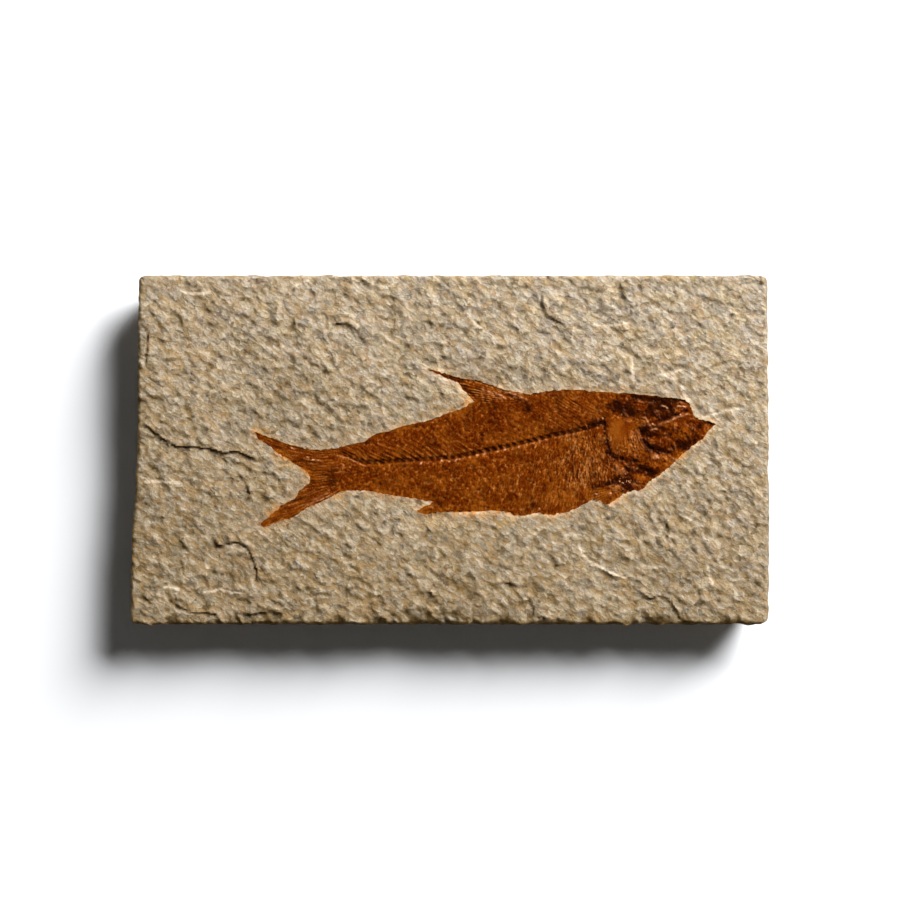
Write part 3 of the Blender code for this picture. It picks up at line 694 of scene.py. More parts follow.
# Over it: painted shade falling off towards the lower left, painted shade and highlight on the low and high
# grain and steps, in the hollows, on the crests and on the sides away from the lamp, then rust, the stain,
# the clean rim, the painted lines of shade and highlight along the ledges, and the wall laminae
tint = coated(tint, [
    (painted("falloff_shade") * 0.7, (0.154, 0.12, 0.07)),
    (spread(grit, 0.5, 0.3) * (painted("falloff_shade") * 0.2 + 0.42), (0.162, 0.104, 0.038)),
    (spread(grit, 0.54, 0.72) * (painted("falloff_shade") * 0.24 + 0.34), CREST_HIGHLIGHT),
    (spread(coarse, 0.02, -0.22) * 0.45, CREVICE_SHADE),
    (spread(fine, 0.0, -0.2) * 0.4, CREVICE_SHADE),
    (spread(coarse, 0.06, 0.26) * 0.16, (0.54, 0.475, 0.385)),
    (painted("hollow_shade") * (painted("falloff_shade") * 0.8 + 0.4), (0.162, 0.094, 0.024)),
    (painted("lee") * (painted("falloff_shade") * 0.75 + 0.4), (0.172, 0.102, 0.026)),
    (painted("crest_highlight") * (painted("falloff_shade") * 0.65 + 0.06), CREST_HIGHLIGHT),
    (painted("rust") * spread(speckle(0.9, 2.0), 0.3, 0.6) * 0.5, (0.4, 0.25, 0.08)),
    (painted("clean") * 0.56, (0.6, 0.46, 0.31)),
    (painted("stain") * 0.9, (0.42, 0.18, 0.038)),
    (painted("highlight_line") * 0.58, (0.7, 0.6, 0.48)),
    (painted("shade_line") * 0.8, (0.1, 0.064, 0.032)),
    (painted("wall") * lamina * 0.6, (0.26, 0.19, 0.12)),
])
Wire.tree.links.new(tint.socket, stone_shader.inputs["Base Color"])
stone_shader.inputs["Roughness"].default_value = 0.92
stone_shader.inputs["Specular IOR Level"].default_value = 0.15
bump_into(stone_shader, grit * 0.4 + coarse * 0.74 + fine * 0.6, 1.0, MM)
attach(slab, "root")
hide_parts("limestone_slab")

# The fish is one thin brown film of mineralised bone, fin rays and scales, pressed flat in the
# stone. It keeps the groove of the backbone with its vertebrae, the bones that lean back from
# it, the ribs, the rays of the fins and the cracked bones of the head.
FISH_CELL = 0.135
FISH_BASE = 8.7
FILM_RISE = 0.26
FILM_SLOPE = 3.2
FILM_CREASE = 50.0
FAR = 60.0

# Distance from one vertebra to the next, and the line of the backbone. It runs on past both ends
# so that the grain of the film does too.
PITCH = 1.56
BACKBONE = [(-46.0, -2.0), (-23.1, -1.4), (-20.9, -2.3), (-18.0, -3.0), (-14.3, -2.9), (-11.0, -2.6),
            (-6.6, -2.4), (-2.2, -2.1), (1.1, -1.8), (4.4, -1.2), (7.7, -0.4), (11.0, 0.2),
            (14.3, 0.9), (17.6, 1.7), (20.9, 2.5), (24.2, 3.3), (27.5, 4.0), (30.8, 4.7),
            (33.0, 5.4), (60.0, 12.0)]

# Bones and marks drawn one by one: half-width, height, tone from -1, dark, to 1, pale, and line
HEAD_MARKS = [
    # Skull roof, dark along its edge, with pale splinters
    (0.38, -0.14, -1.0, [(39.4, 12.2), (41.0, 11.6), (43.0, 11.2), (45.0, 11.1), (47.0, 11.1), (49.0, 10.9),
        (51.0, 10.8), (52.0, 10.2)]),
    (0.15, 0.08, 0.6, [(38.7, 11.6), (39.1, 11.1)]),
    (0.18, 0.08, 0.5, [(41.3, 10.8), (42.1, 10.6), (42.8, 10.2)]),
    (0.18, 0.06, 0.4, [(43.6, 10.4), (44.7, 10.4)]),
    # Cracked plates behind the eye
    (0.24, 0.12, 0.45, [(38.1, 8.8), (38.7, 7.8), (39.2, 7.0), (39.9, 6.4)]),
    (0.12, 0.14, 1.0, [(37.7, 7.9), (37.7, 7.5)]),
    (0.2, 0.1, 0.45, [(38.3, 6.9), (38.9, 6.4), (39.7, 6.1)]),
    (0.3, -0.08, -0.6, [(38.5, 7.4), (38.8, 7.0)]),
    # Rim of the eye socket, and the splinters below it
    (0.2, 0.12, 0.65, [(42.2, 7.2), (43.0, 6.9), (43.3, 6.3), (43.8, 5.6), (44.3, 5.2)]),
    (0.16, 0.12, 0.85, [(44.4, 5.9), (44.8, 5.6), (45.2, 5.4)]),
    (0.2, 0.1, 0.7, [(44.3, 4.4), (45.1, 4.6), (45.8, 4.6)]),
    (0.22, 0.12, 0.75, [(46.0, 5.6), (47.2, 6.0), (48.6, 6.5), (49.5, 7.0), (51.0, 7.5), (52.6, 8.0)]),
    (0.26, -0.14, -0.9, [(45.6, 6.3), (47.2, 6.9), (48.8, 7.4), (50.4, 8.0)]),
    (0.16, 0.08, 0.5, [(42.0, 5.6), (42.6, 5.4), (43.1, 5.6)]),
    # Crescents of the eye, with painted glints
    (0.17, 0.14, 1.0, [(46.4, 9.8), (47.3, 9.6), (48.0, 9.1)]),
    (0.2, 0.1, 0.45, [(47.8, 8.8), (48.3, 8.3)]),
    (0.15, 0.1, 0.55, [(49.2, 9.3), (49.6, 8.8), (49.5, 8.1)]),
    (0.14, 0.06, 0.3, [(45.1, 9.9), (44.9, 8.8), (45.3, 7.6), (46.2, 7.0)]),
    # Snout
    (0.16, 0.12, 0.95, [(50.0, 9.6), (51.0, 9.6), (51.9, 9.5)]),
    (0.22, 0.12, 0.6, [(50.5, 10.6), (51.4, 10.3), (51.9, 9.9), (51.8, 9.4), (51.2, 9.1)]),
    (0.3, -0.1, -1.0, [(51.6, 8.4), (52.2, 8.6)]),
    (0.14, 0.12, 0.9, [(50.6, 7.8), (50.9, 7.8)]),
    (0.15, 0.1, 0.45, [(53.3, 5.7), (53.3, 4.2)]),
    (0.15, 0.1, 0.45, [(53.8, 5.6), (53.9, 4.2)]),
    (0.36, -0.08, -0.55, [(54.4, 4.9), (55.3, 5.3)]),
    (0.4, -0.1, -0.95, [(56.6, 6.1), (57.5, 5.9), (58.3, 5.6)]),
    (0.2, 0.08, 0.5, [(56.2, 5.6), (56.5, 4.8), (57.0, 4.2)]),
    # Cheek
    (0.18, 0.1, 0.5, [(49.8, 6.0), (49.4, 5.4), (49.4, 4.8), (50.0, 4.3)]),
    (0.18, 0.1, 0.5, [(47.1, 3.4), (47.5, 3.8), (47.9, 3.5)]),
    (0.15, 0.14, 1.0, [(47.3, 2.8), (47.6, 2.6)]),
    (0.2, 0.1, 0.55, [(47.9, 2.5), (48.5, 2.2)]),
    (0.16, 0.08, 0.4, [(46.2, 2.2), (46.4, 1.4), (46.9, 1.1)]),
    # Lower jaw
    (0.36, -0.12, -0.75, [(49.9, 0.5), (51.0, 0.7), (52.2, 1.0), (53.3, 1.6), (54.1, 2.3)]),
    (0.14, 0.1, 0.6, [(49.3, 1.6), (49.5, 1.0), (49.7, 0.5)]),
    (0.2, 0.1, 0.6, [(48.0, 0.1), (48.6, 0.2), (49.1, 0.0)]),
    (0.22, -0.1, -0.8, [(47.4, -0.7), (48.4, -0.7)]),
    # Deep arc behind the jaw
    (0.55, -0.26, -1.0, [(41.9, 4.5), (42.3, 3.2), (43.0, 1.7), (43.6, 0.8), (44.5, 0.2), (45.6, -0.2),
        (46.8, -0.3), (48.2, -0.7)]),
    (0.2, 0.1, 0.4, [(43.5, 2.7), (43.8, 1.6), (44.4, 1.3), (45.2, 1.5)]),
    (0.18, 0.12, 0.75, [(44.2, -0.3), (44.5, -0.7)]),
    (0.34, 0.14, 1.0, [(44.6, -1.6), (45.4, -1.5), (46.1, -1.6)]),
    (0.2, 0.12, 0.65, [(46.9, -1.5), (47.4, -1.5)]),
    (0.18, 0.1, 0.6, [(48.0, -1.2), (48.6, -1.4)]),
    (0.17, 0.12, 0.9, [(49.0, -1.9), (50.0, -2.3)]),
    (0.22, -0.1, -0.7, [(46.4, -2.5), (48.2, -2.6)]),
    # Edge of the gill opening
    (0.34, -0.18, -1.0, [(33.7, 7.6), (33.8, 6.0), (34.0, 4.0), (34.4, 2.4), (34.7, 1.0), (35.0, 0.0)]),
    (0.5, -0.26, -1.0, [(35.0, -0.2), (35.3, -0.9), (36.2, -1.6), (37.2, -2.0), (38.2, -2.2)]),
    (0.28, -0.12, -0.7, [(38.2, -2.2), (39.6, -2.1), (41.2, -2.4)]),
    (0.24, -0.12, -0.8, [(37.8, -2.9), (38.4, -3.6), (38.9, -4.4), (39.4, -5.0)]),
    (0.2, 0.1, 0.45, [(38.2, -2.9), (39.2, -3.6), (39.9, -4.2)]),
    (0.6, -0.2, -1.0, [(40.5, -4.4), (42.0, -4.3), (43.5, -4.8), (44.8, -5.2)]),
    (0.2, 0.08, 0.6, [(40.9, -4.1), (41.4, -4.0)]),
    (0.18, 0.1, 0.5, [(40.3, -1.1), (41.2, -1.2), (41.6, -1.7), (40.8, -1.8)]),
    # Shoulder, and the pit full of loose grains, with painted glints on them
    (0.45, 0.1, 0.55, [(36.4, -3.2), (37.0, -4.2), (37.8, -4.8), (38.3, -4.9)]),
    (0.14, 0.14, 1.0, [(37.2, -6.8), (37.4, -7.0)]),
    (0.15, 0.14, 1.0, [(39.2, -6.8), (39.4, -7.0)]),
    (0.13, 0.14, 0.9, [(38.0, -5.9), (38.1, -6.2)]),
    (0.13, 0.12, 0.9, [(38.8, -5.9), (39.0, -6.0)]),
    (0.15, 0.12, 0.7, [(35.1, -6.6), (35.3, -6.8)]),
    (0.14, 0.12, 0.7, [(38.5, -5.1), (38.7, -5.3)]),
    (0.34, -0.1, -0.8, [(31.2, -8.6), (33.0, -7.9), (35.0, -7.5), (36.4, -7.3)]),
    # Breast fin
    (0.16, 0.14, 1.0, [(34.8, -9.7), (35.1, -9.5), (35.6, -9.5)]),
    (0.16, 0.12, 0.8, [(31.8, -9.6), (32.5, -9.8)]),
    (0.15, 0.1, 0.6, [(35.1, -8.1), (35.8, -7.8), (36.3, -7.8)]),
    (0.16, 0.1, 0.65, [(36.7, -7.8), (37.6, -8.2), (38.2, -8.7)]),
    (0.14, 0.08, 0.5, [(35.8, -8.9), (36.6, -9.0), (37.3, -9.2)]),
    # First vertebrae, under the shield
    (0.55, -0.14, -1.0, [(31.4, 5.8), (32.2, 6.1), (33.2, 5.9)]),
    (0.16, 0.12, 0.9, [(33.5, 7.1), (33.7, 6.8)]),
    (0.16, 0.1, 0.6, [(32.4, 7.2), (32.6, 6.4)]),
    (0.16, 0.1, 0.7, [(33.1, 5.5), (33.7, 5.2)]),
    (0.14, 0.12, 0.8, [(33.9, 4.2), (34.1, 4.0)]),
    (0.14, 0.1, 0.6, [(33.2, 8.6), (33.4, 8.4)]),
]
FIN_MARKS = [
    # Root of the tail
    (0.22, -0.12, -0.8, [(-23.4, -1.3), (-22.0, -1.7), (-20.0, -2.6), (-18.2, -3.3)]),
    (0.12, 0.08, 0.62, [(-22.2, -2.0), (-21.0, -2.5), (-20.0, -3.0), (-18.4, -3.7)]),
    (0.14, 0.08, 0.55, [(-25.0, -1.3), (-23.5, -1.6), (-22.2, -1.8)]),
    (0.45, -0.05, -0.35, [(-25.8, -3.5), (-25.7, -5.2), (-25.8, -7.4)]),
    (0.14, 0.1, 0.6, [(-24.8, -3.4), (-24.0, -3.0), (-23.4, -3.4), (-23.8, -4.2)]),
    (0.13, 0.08, 0.45, [(-25.2, -5.0), (-23.6, -4.9), (-22.0, -5.0)]),
    # Painted glints on the rays of the tail
    (0.15, 0.1, 0.9, [(-35.0, 0.5), (-34.3, 0.1)]),
    (0.15, 0.1, 0.9, [(-31.6, -1.5), (-31.0, -1.8)]),
    (0.15, 0.12, 1.0, [(-30.6, -2.2), (-29.6, -2.1), (-28.4, -2.3)]),
    (0.15, 0.1, 0.8, [(-26.9, -8.7), (-26.5, -9.1)]),
    (0.14, 0.08, 0.7, [(-32.0, -12.3), (-30.0, -11.5), (-28.0, -10.8), (-25.2, -9.3)]),
    (0.14, 0.08, 0.6, [(-30.4, -11.1), (-28.6, -10.3), (-26.8, -9.5)]),
    # Dorsal fin: dark front and rear edges, pale rays
    (0.3, -0.08, -0.9, [(-2.6, 17.0), (0.0, 16.2), (2.0, 15.6), (3.0, 15.0)]),
    (0.3, -0.08, -0.8, [(2.2, 14.9), (3.2, 13.6), (4.4, 12.6), (5.4, 11.8)]),
    (0.15, 0.12, 0.8, [(7.0, 13.2), (8.4, 12.9), (9.5, 12.3)]),
    (0.15, 0.12, 1.0, [(9.9, 12.5), (10.6, 12.2), (11.2, 12.0), (12.0, 11.3)]),
    (0.15, 0.12, 0.8, [(10.2, 11.3), (11.4, 11.6), (12.3, 11.2)]),
    (0.15, 0.12, 0.9, [(12.0, 12.8), (14.0, 12.3), (15.5, 11.7), (17.0, 11.0)]),
    (0.14, 0.1, 0.7, [(13.0, 13.1), (14.6, 12.7), (16.0, 12.2)]),
    (0.18, -0.1, -0.9, [(11.4, 12.4), (13.0, 11.8), (14.6, 11.2), (16.0, 10.7)]),
    (0.45, -0.12, -0.9, [(16.6, 10.6), (17.2, 9.6), (17.0, 8.4)]),
    # Marks on the flank
    (0.14, -0.06, -0.8, [(21.4, -3.4), (21.8, -5.4), (22.0, -7.4)]),
    (0.14, -0.06, -0.7, [(8.8, -6.2), (8.6, -8.0), (8.3, -9.8)]),
    (0.16, 0.1, 0.8, [(19.5, -12.9), (19.9, -13.1)]),
    (0.15, 0.1, 0.8, [(7.7, -12.7), (8.0, -13.0)]),
    (0.22, -0.08, -0.6, [(-2.6, -13.4), (2.0, -13.5), (7.0, -13.4), (12.0, -13.6), (15.8, -14.1)]),
]


def between(first, last, count):
    """Lines spread evenly from one border line to the other."""
    for share in np.linspace(0.0, 1.0, count):
        yield [tuple((1.0 - share) * np.array(start) + share * np.array(end))
               for start, end in zip(first, last)]


# Bones that run side by side: half-width, height, tone, how many, and the first and last line
BONE_FANS = [
    ("stripes of the plate before the gill cover", 0.15, 0.07, 0.4, 6,
     [(39.4, 4.0), (39.5, 2.4), (39.9, 0.9), (40.6, -0.3)],
     [(41.5, 4.6), (41.9, 2.8), (42.7, 1.2), (43.7, 0.0)]),
    ("grooves between those stripes", 0.12, -0.04, -0.22, 5,
     [(39.6, 4.0), (39.7, 2.4), (40.1, 0.9), (40.8, -0.3)],
     [(41.3, 4.6), (41.7, 2.8), (42.4, 1.2), (43.4, 0.0)]),
    ("rays of the throat", 0.13, 0.08, 0.45, 5,
     [(39.6, -7.0), (40.2, -7.9), (40.7, -8.6)],
     [(41.2, -6.4), (41.8, -7.3), (42.4, -8.1)]),
]
MARKS = HEAD_MARKS + FIN_MARKS
for _, half_width, height, tone, count, first, last in BONE_FANS:
    MARKS += [(half_width, height, tone, line) for line in between(first, last, count)]

# Patches of the film's colour: middle, half-length, half-height and strength
DARK_PATCHES = [
    # Head
    (46.8, 8.9, 6.4, 4.8, 0.8), (45.6, 9.2, 2.2, 3.6, 0.8), (47.4, 10.7, 5.4, 1.5, 0.9),
    (40.6, 11.4, 4.6, 1.3, 0.7), (44.2, 4.2, 4.4, 2.4, 0.95), (45.2, 0.1, 3.6, 1.5, 1.0),
    (43.4, 1.4, 1.6, 2.6, 0.7), (37.2, 10.0, 3.4, 2.8, 1.25), (39.6, 8.4, 2.8, 2.6, 1.25),
    (42.6, 8.8, 3.6, 3.6, 0.35), (51.6, 1.1, 4.6, 1.6, 0.7), (54.2, 3.6, 5.0, 5.2, 0.22),
    (55.0, 5.2, 2.6, 1.5, 0.2), (58.0, 5.8, 2.2, 1.0, 0.9), (52.0, 8.5, 1.3, 1.0, 0.6),
    (49.0, 4.0, 9.0, 7.0, 0.34), (42.2, 3.8, 1.6, 2.8, 0.55),
    # Smooth plates of the head, which are less dark
    (48.8, 6.1, 3.6, 1.2, -0.6), (42.6, 9.6, 2.2, 1.8, -0.35), (50.6, 4.0, 3.2, 2.2, -0.3),
    (45.6, 2.3, 1.8, 1.0, -0.45), (52.6, 6.6, 2.0, 1.3, -0.35), (56.8, 4.8, 1.4, 1.0, -0.4),
    (46.5, -2.2, 2.6, 1.4, -0.4), (42.2, -6.2, 1.8, 1.2, -0.4), (37.6, -4.0, 1.6, 1.2, -0.4),
    # Gill edge, throat and pit
    (36.5, -1.5, 2.9, 1.4, 0.85), (35.1, -0.4, 1.5, 1.8, 0.7), (39.4, -2.4, 4.6, 1.2, 0.55),
    (42.6, -4.4, 4.6, 1.4, 1.0), (41.0, -3.6, 3.6, 1.6, 0.35), (38.4, -6.8, 3.4, 2.8, 0.85),
    (40.0, -8.3, 2.6, 1.6, 0.55), (36.0, -6.6, 2.2, 1.6, 0.45), (39.4, -4.6, 1.8, 1.4, 0.5),
    (33.8, -7.7, 4.8, 1.3, 0.65), (45.0, -5.2, 2.6, 1.3, 0.5),
    # Back and flank
    (31.9, 6.0, 3.4, 1.4, 0.7), (30.0, 5.2, 3.2, 1.2, 0.4), (17.0, 9.6, 1.7, 2.4, 0.6),
    (9.5, 9.4, 8.0, 1.4, 0.35), (18.4, -12.4, 2.3, 1.2, 0.7), (-2.4, -11.6, 1.8, 1.7, 0.6),
    (-13.6, -8.2, 2.6, 1.7, 0.3), (14.6, -14.2, 2.6, 0.8, 0.4), (34.5, 8.2, 2.0, 4.4, 0.3),
    (34.6, 2.4, 1.2, 3.4, 0.45),
    # Tail
    (-26.0, -6.2, 2.2, 3.6, 0.35), (-31.6, -2.6, 2.6, 1.6, 0.3), (-38.4, 1.3, 3.4, 1.3, 0.45),
    (-42.1, 3.7, 1.2, 0.7, 0.8), (-34.6, 0.4, 5.4, 1.0, 0.2), (-33.2, -10.6, 2.2, 1.2, 0.4),
    (-38.6, -15.4, 2.6, 1.1, 0.25),
]
# The pale patch under the jaw and the one on the eye are painted highlights
PALE_PATCHES = [
    (37.0, -4.3, 1.6, 1.3, 0.6), (45.4, -1.5, 2.4, 0.8, 0.6), (48.6, -2.0, 2.2, 0.7, 0.5),
    (8.0, 12.8, 5.0, 1.8, 0.45), (-5.9, -7.0, 0.6, 0.6, 0.8), (43.0, 6.4, 2.2, 1.6, 0.3),
    (45.0, 5.2, 2.0, 1.2, 0.35), (47.6, 9.2, 1.4, 1.4, 0.4), (31.0, -3.4, 4.2, 4.0, 0.2),
    (14.8, 12.0, 3.0, 0.9, 0.35), (36.6, -8.8, 2.8, 1.2, 0.4), (44.2, 1.6, 1.8, 1.6, 0.25),
]
ORANGE_PATCHES = [
    (-11.0, -7.0, 3.8, 2.4, 0.8), (-15.0, -7.5, 4.2, 2.2, 0.5), (-30.2, -4.0, 2.0, 1.8, 0.8),
    (38.2, 2.4, 4.0, 4.6, 0.15), (42.0, -6.1, 2.2, 1.5, 1.0), (47.8, 5.6, 2.8, 1.3, 0.7),
    (44.6, -3.4, 2.0, 1.2, 0.7), (41.4, 0.2, 2.8, 3.4, 0.6), (32.4, 8.4, 4.4, 4.4, 0.5),
    (40.8, 5.0, 1.6, 2.4, 0.6), (-36.8, -15.0, 5.4, 2.4, 0.6), (-36.6, -0.7, 2.2, 1.3, 1.0),
    (1.8, 8.0, 5.4, 2.8, 0.5), (18.0, 4.2, 9.0, 2.6, 0.5), (34.0, -9.8, 5.0, 1.8, 0.8),
    (33.0, 1.6, 2.2, 4.2, 0.4), (50.4, 3.0, 4.4, 2.0, 0.5), (26.0, -9.5, 9.0, 4.0, 0.3),
    (8.0, -8.0, 9.0, 5.0, 0.3), (56.6, 4.8, 1.6, 1.4, 0.5), (-43.0, 4.0, 2.0, 1.2, 0.9),
    (-40.8, -16.4, 2.4, 1.4, 0.8),
]

# Plates where a painted highlight falls on the sides that face the lamp
HIGHLIGHT_PATCHES = [
    (47.5, 9.3, 1.6, 1.2, 0.35), (44.0, 6.4, 2.0, 1.3, 0.3), (36.9, -4.2, 1.6, 1.3, 0.35),
    (36.4, -8.2, 2.2, 0.9, 0.3), (39.6, -5.6, 1.6, 0.8, 0.25), (45.3, -1.5, 2.0, 0.8, 0.35),
    (40.4, 10.4, 1.8, 0.8, 0.2), (44.6, 1.9, 1.4, 1.0, 0.2), (-29.6, -1.8, 3.4, 0.9, 0.25),
    (-24.6, -3.6, 1.6, 1.0, 0.2), (11.0, 12.0, 4.6, 1.0, 0.3), (-29.0, -10.8, 3.6, 0.9, 0.2),
]

# Places where the film stands proud or lies deep: the gill cover, the cheek and the throat, and
# the eye and the pit
PROUD = [(37.6, 3.0, 4.4, 5.4, 1.0), (50.4, 4.8, 4.0, 3.2, 1.0), (42.2, -6.2, 2.2, 1.6, 0.9)]
DEEP = [(47.0, 8.8, 2.8, 2.4, 1.0), (38.0, -6.6, 2.6, 1.8, 1.0)]
GLITTER = [(38.4, -6.6, 2.8, 3.0, 1.4)]


def threads(x, y, size, width, level):
    """Thin wandering threads, where soft noise of the size crosses zero."""
    return ease(1.0 - np.abs(grain(x, y, size, level, 2)) / width)


def ridge(phase, sharpness):
    """Row of ridges, one for each whole number of the phase."""
    return (0.5 + 0.5 * np.cos(2.0 * np.pi * phase)) ** sharpness


def within(value, low, high, margin):
    """1 between low and high, easing to 0 over the margin outside them."""
    return ease((value - low) / margin + 1.0) * ease((high - value) / margin + 1.0)


bpy.ops.object.select_all(action="DESELECT")
low, high = fish_line.min(axis=0) - 0.3, fish_line.max(axis=0) + 0.3
bpy.ops.mesh.primitive_grid_add(x_subdivisions=round((high[0] - low[0]) / FISH_CELL),
                                y_subdivisions=round((high[1] - low[1]) / FISH_CELL), size=2)
fish = bpy.context.object
fish.name = "fish_relief"
spots = corners(fish) * MM
sheet = (spots[:, :2] + 1.0) / 2.0 * (high - low) + low
place_corners(fish, np.column_stack([sheet, np.full(len(sheet), FACE)]))
wall_down([FISH_BASE])
cut_to_fish(fish, "INTERSECT")

spots = corners(fish)
on_face = spots[:, 2] > FACE - 0.01
x, y = spots[on_face, 0], spots[on_face, 1]
inside, faces_up = outline_gap(x, y)
level = FISH_EDGE + FILM_RISE * (1.0 - np.exp(-(inside / FILM_SLOPE) ** 1.5))

# Backbone: how high above it, and how many vertebrae along it
column = drawn(BACKBONE, 4)
_, off, side, travel = near_line(column, x, y, FAR)
step = travel * np.hypot(*np.diff(column, axis=0).T).sum() / PITCH
above = off * side
over = np.maximum(above, 0.0)
down = np.maximum(-above, 0.0)
in_body = within(x, -23.5, 33.0, 1.5)
wobble = grain(x, y, 2.4, 73.0)
jitter = grain(x, y, 0.9, 74.0)
trunk = np.exp(-((above - 0.2) / 0.6) ** 4) * in_body
vertebra = ridge(step + 0.12 * wobble, 1.5)


def bone_count(away, lean):
    """How many bones along a place lies, when they lean back by so many degrees."""
    return step + away / np.tan(np.radians(lean)) / PITCH + 0.16 * wobble


# Bones that lean back above it and below it
back_lean = np.interp(x, [-20.0, -11.0, -2.0, 11.0, 24.0, 33.0], [24.0, 36.0, 45.0, 50.0, 42.0, 38.0])
back_phase = bone_count(over, back_lean)
back_reach = np.interp(x, [-22.0, -10.0, 2.0, 7.0, 30.0], [2.6, 4.2, 3.8, 1.2, 0.9])
back_zone = within(above, 0.3, FAR, 0.2) * np.exp(-(over / back_reach) ** 3) * in_body
back_zone *= np.clip(0.75 + 1.2 * wobble, 0.2, 1.0)
back_bones = ridge(back_phase, 3.0) * back_zone
back_gaps = ridge(back_phase + 0.4, 3.4) * back_zone
hatch_zone = within(x, 22.0, 33.5, 3.0) * within(above, 1.6, FAR, 1.0)
hatch_zone *= capped(0.5 + 1.8 * wobble)
hatch = ridge(1.7 * back_phase + 0.2 * jitter, 1.2) * hatch_zone
belly_lean = np.interp(x, [-20.0, -11.0, -2.0], [28.0, 38.0, 52.0])
belly_phase = bone_count(down, belly_lean)
belly_zone = within(above, -FAR, -0.3, 0.2) * np.exp(-(down / 3.6) ** 3)
belly_zone *= within(x, -22.0, -4.0, 4.0)
belly_zone *= np.clip(0.6 + 1.6 * wobble, 0.1, 1.0)
belly_bones = ridge(belly_phase, 2.0) * belly_zone
belly_gaps = ridge(belly_phase + 0.4, 2.0) * belly_zone

# Strips of muscle and ribs hang down behind the gill, and fade towards the tail
strip_zone = within(x, 28.0, 36.0, 5.0) * within(y, -7.0, 2.5, 2.0)
strip_zone *= 1.0 - 0.8 * ease(x - 35.5)
strips = threads(x, y * 0.3, 0.75, 0.2, 75.0) * strip_zone
strip_gaps = threads(x + 0.4, y * 0.3, 0.85, 0.16, 76.0) * strip_zone
rib_zone = within(x, 2.0, 28.0, 8.0) * ease((down - 1.2) / 1.8)
rib_zone *= capped(0.35 + 1.8 * grain(x, y, 3.2, 77.0))
ribs = threads(x + 0.25 * down, y * 0.32, 1.0, 0.14, 78.0) * rib_zone
rib_gaps = threads(x + 0.25 * down, y * 0.28, 1.2, 0.12, 79.0) * rib_zone
level += trunk * (-0.18 + 0.09 * vertebra) + 0.045 * (back_bones - back_gaps) + 0.04 * hatch
level += 0.04 * (belly_bones - belly_gaps) + 0.06 * (strips - strip_gaps) + 0.04 * (ribs - rib_gaps)

# Rays of the fins fan out from their roots
tail = 1.0 - ease((x + 26.0) / 2.5)
top_edge = np.interp(x, [-42.9, -37.0, -33.4, -29.7, -25.3, -22.0], [4.2, 2.0, 0.9, 0.2, 0.5, 1.3])
low_edge = np.interp(x, [-41.8, -38.3, -34.8, -28.6, -23.5], [-17.4, -16.2, -14.8, -11.5, -9.2])
fan = np.where(y > -6.1, (y + 6.1) / (top_edge + 6.1), (y + 6.1) / (low_edge + 6.1))
ray_zone = tail * capped(0.3 + 0.9 * fan + 1.3 * grain(x, y, 2.6, 78.0))
ray_phase = 16.0 * fan + 0.35 * grain(x, y, 3.0, 79.0)
tail_rays = threads(14.0 * fan, 0.2 * x, 0.8, 0.24, 111.0) * tail
tail_gaps = threads(14.0 * fan, 0.2 * x, 0.8, 0.24, 112.0) * tail
tail_gaps += 0.4 * ridge(ray_phase, 1.6) * ray_zone
dorsal_turn = np.arctan2(y - 10.4, 18.6 - x)
dorsal = within(dorsal_turn, 0.03, 1.5, 0.03) * within(x, -1.0, 16.8, 1.0) * (y > 9.6)
dorsal_phase = dorsal_turn / 0.042 + 0.3 * grain(x, y, 2.4, 81.0)
dorsal_own = capped(0.55 + 1.6 * grain(x * 0.4, y, 0.9, 113.0, 2)) * dorsal
dorsal_rays = ridge(dorsal_phase, 2.4) * dorsal_own
dorsal_gaps = ridge(dorsal_phase + 0.5, 1.8) * dorsal_own
breast_turn = np.arctan2(-8.0 - y, 39.0 - x)
breast = within(breast_turn, 0.08, 1.5, 0.04) * within(x, 30.8, 38.0, 0.6) * (y < -8.0)
breast_rays = ridge(breast_turn / 0.085 + 0.4 * wobble, 1.3) * breast
anal = within(x, -8.0, -1.4, 0.6) * (y < -11.4)
anal_rays = ridge(np.arctan2(-10.8 - y, -0.5 - x) / 0.085, 1.3) * anal
level += 0.05 * (tail_rays - tail_gaps) + 0.08 * (dorsal_rays - dorsal_gaps)
level += 0.05 * (breast_rays + anal_rays)

# The gill cover is one smooth plate, grooved along its lower half
from_cover = np.hypot((x - 37.9) / 4.1, (y - 2.5) / 4.6) + 0.22 * wobble
cover = 1.0 - ease((from_cover - 0.74) / 0.32)
cover_low = cover * ease(0.7 + (x - 38.0) / 2.4 - (y - 1.6) / 2.8)
grooves = threads(x + 0.15 * y, y * 0.25, 0.5, 0.22, 107.0) * cover_low
groove_ribs = threads(x + 0.15 * y + 0.3, y * 0.25, 0.55, 0.2, 108.0) * cover_low

# Mottled film of scales, and splintered bone on the head
head = ease((x - 33.6) / 1.2)
body = (1.0 - head) * (1.0 - tail)
flow_x = np.where(above > 0.0, back_phase * PITCH, x + 0.2 * down)
flow_y = np.where(above > 0.0, above * 0.35, y * 0.38)
combed = np.where(above > 0.0, 0.15 + 0.6 * np.exp(-(over / back_reach) ** 3) + 0.4 * hatch_zone,
                  0.25 + 0.55 * ease((x - 10.0) / 12.0))
mottle = 1.15 * grain(flow_x, flow_y, 0.58, 96.0, 3) * body * combed
mottle += 1.3 * grain(x, y, 0.85, 93.0, 3) * body * (1.0 - combed)
mottle += 0.9 * grain(9.0 * fan, 0.24 * x, 0.7, 97.0, 3) * tail
mottle += 0.5 * grain(x, y, 0.85, 98.0, 3) * head
blotch = 1.45 * grain(x, y, 2.8, 95.0, 3)
spot = grain(x, y * 0.7, 0.32, 94.0)
body_threads = threads(flow_x, flow_y, 0.62, 0.2, 105.0) * body * combed
body_gaps = threads(flow_x, flow_y, 0.68, 0.2, 106.0) * body * combed
uneven = 1.0 - 0.75 * (cover - cover_low)
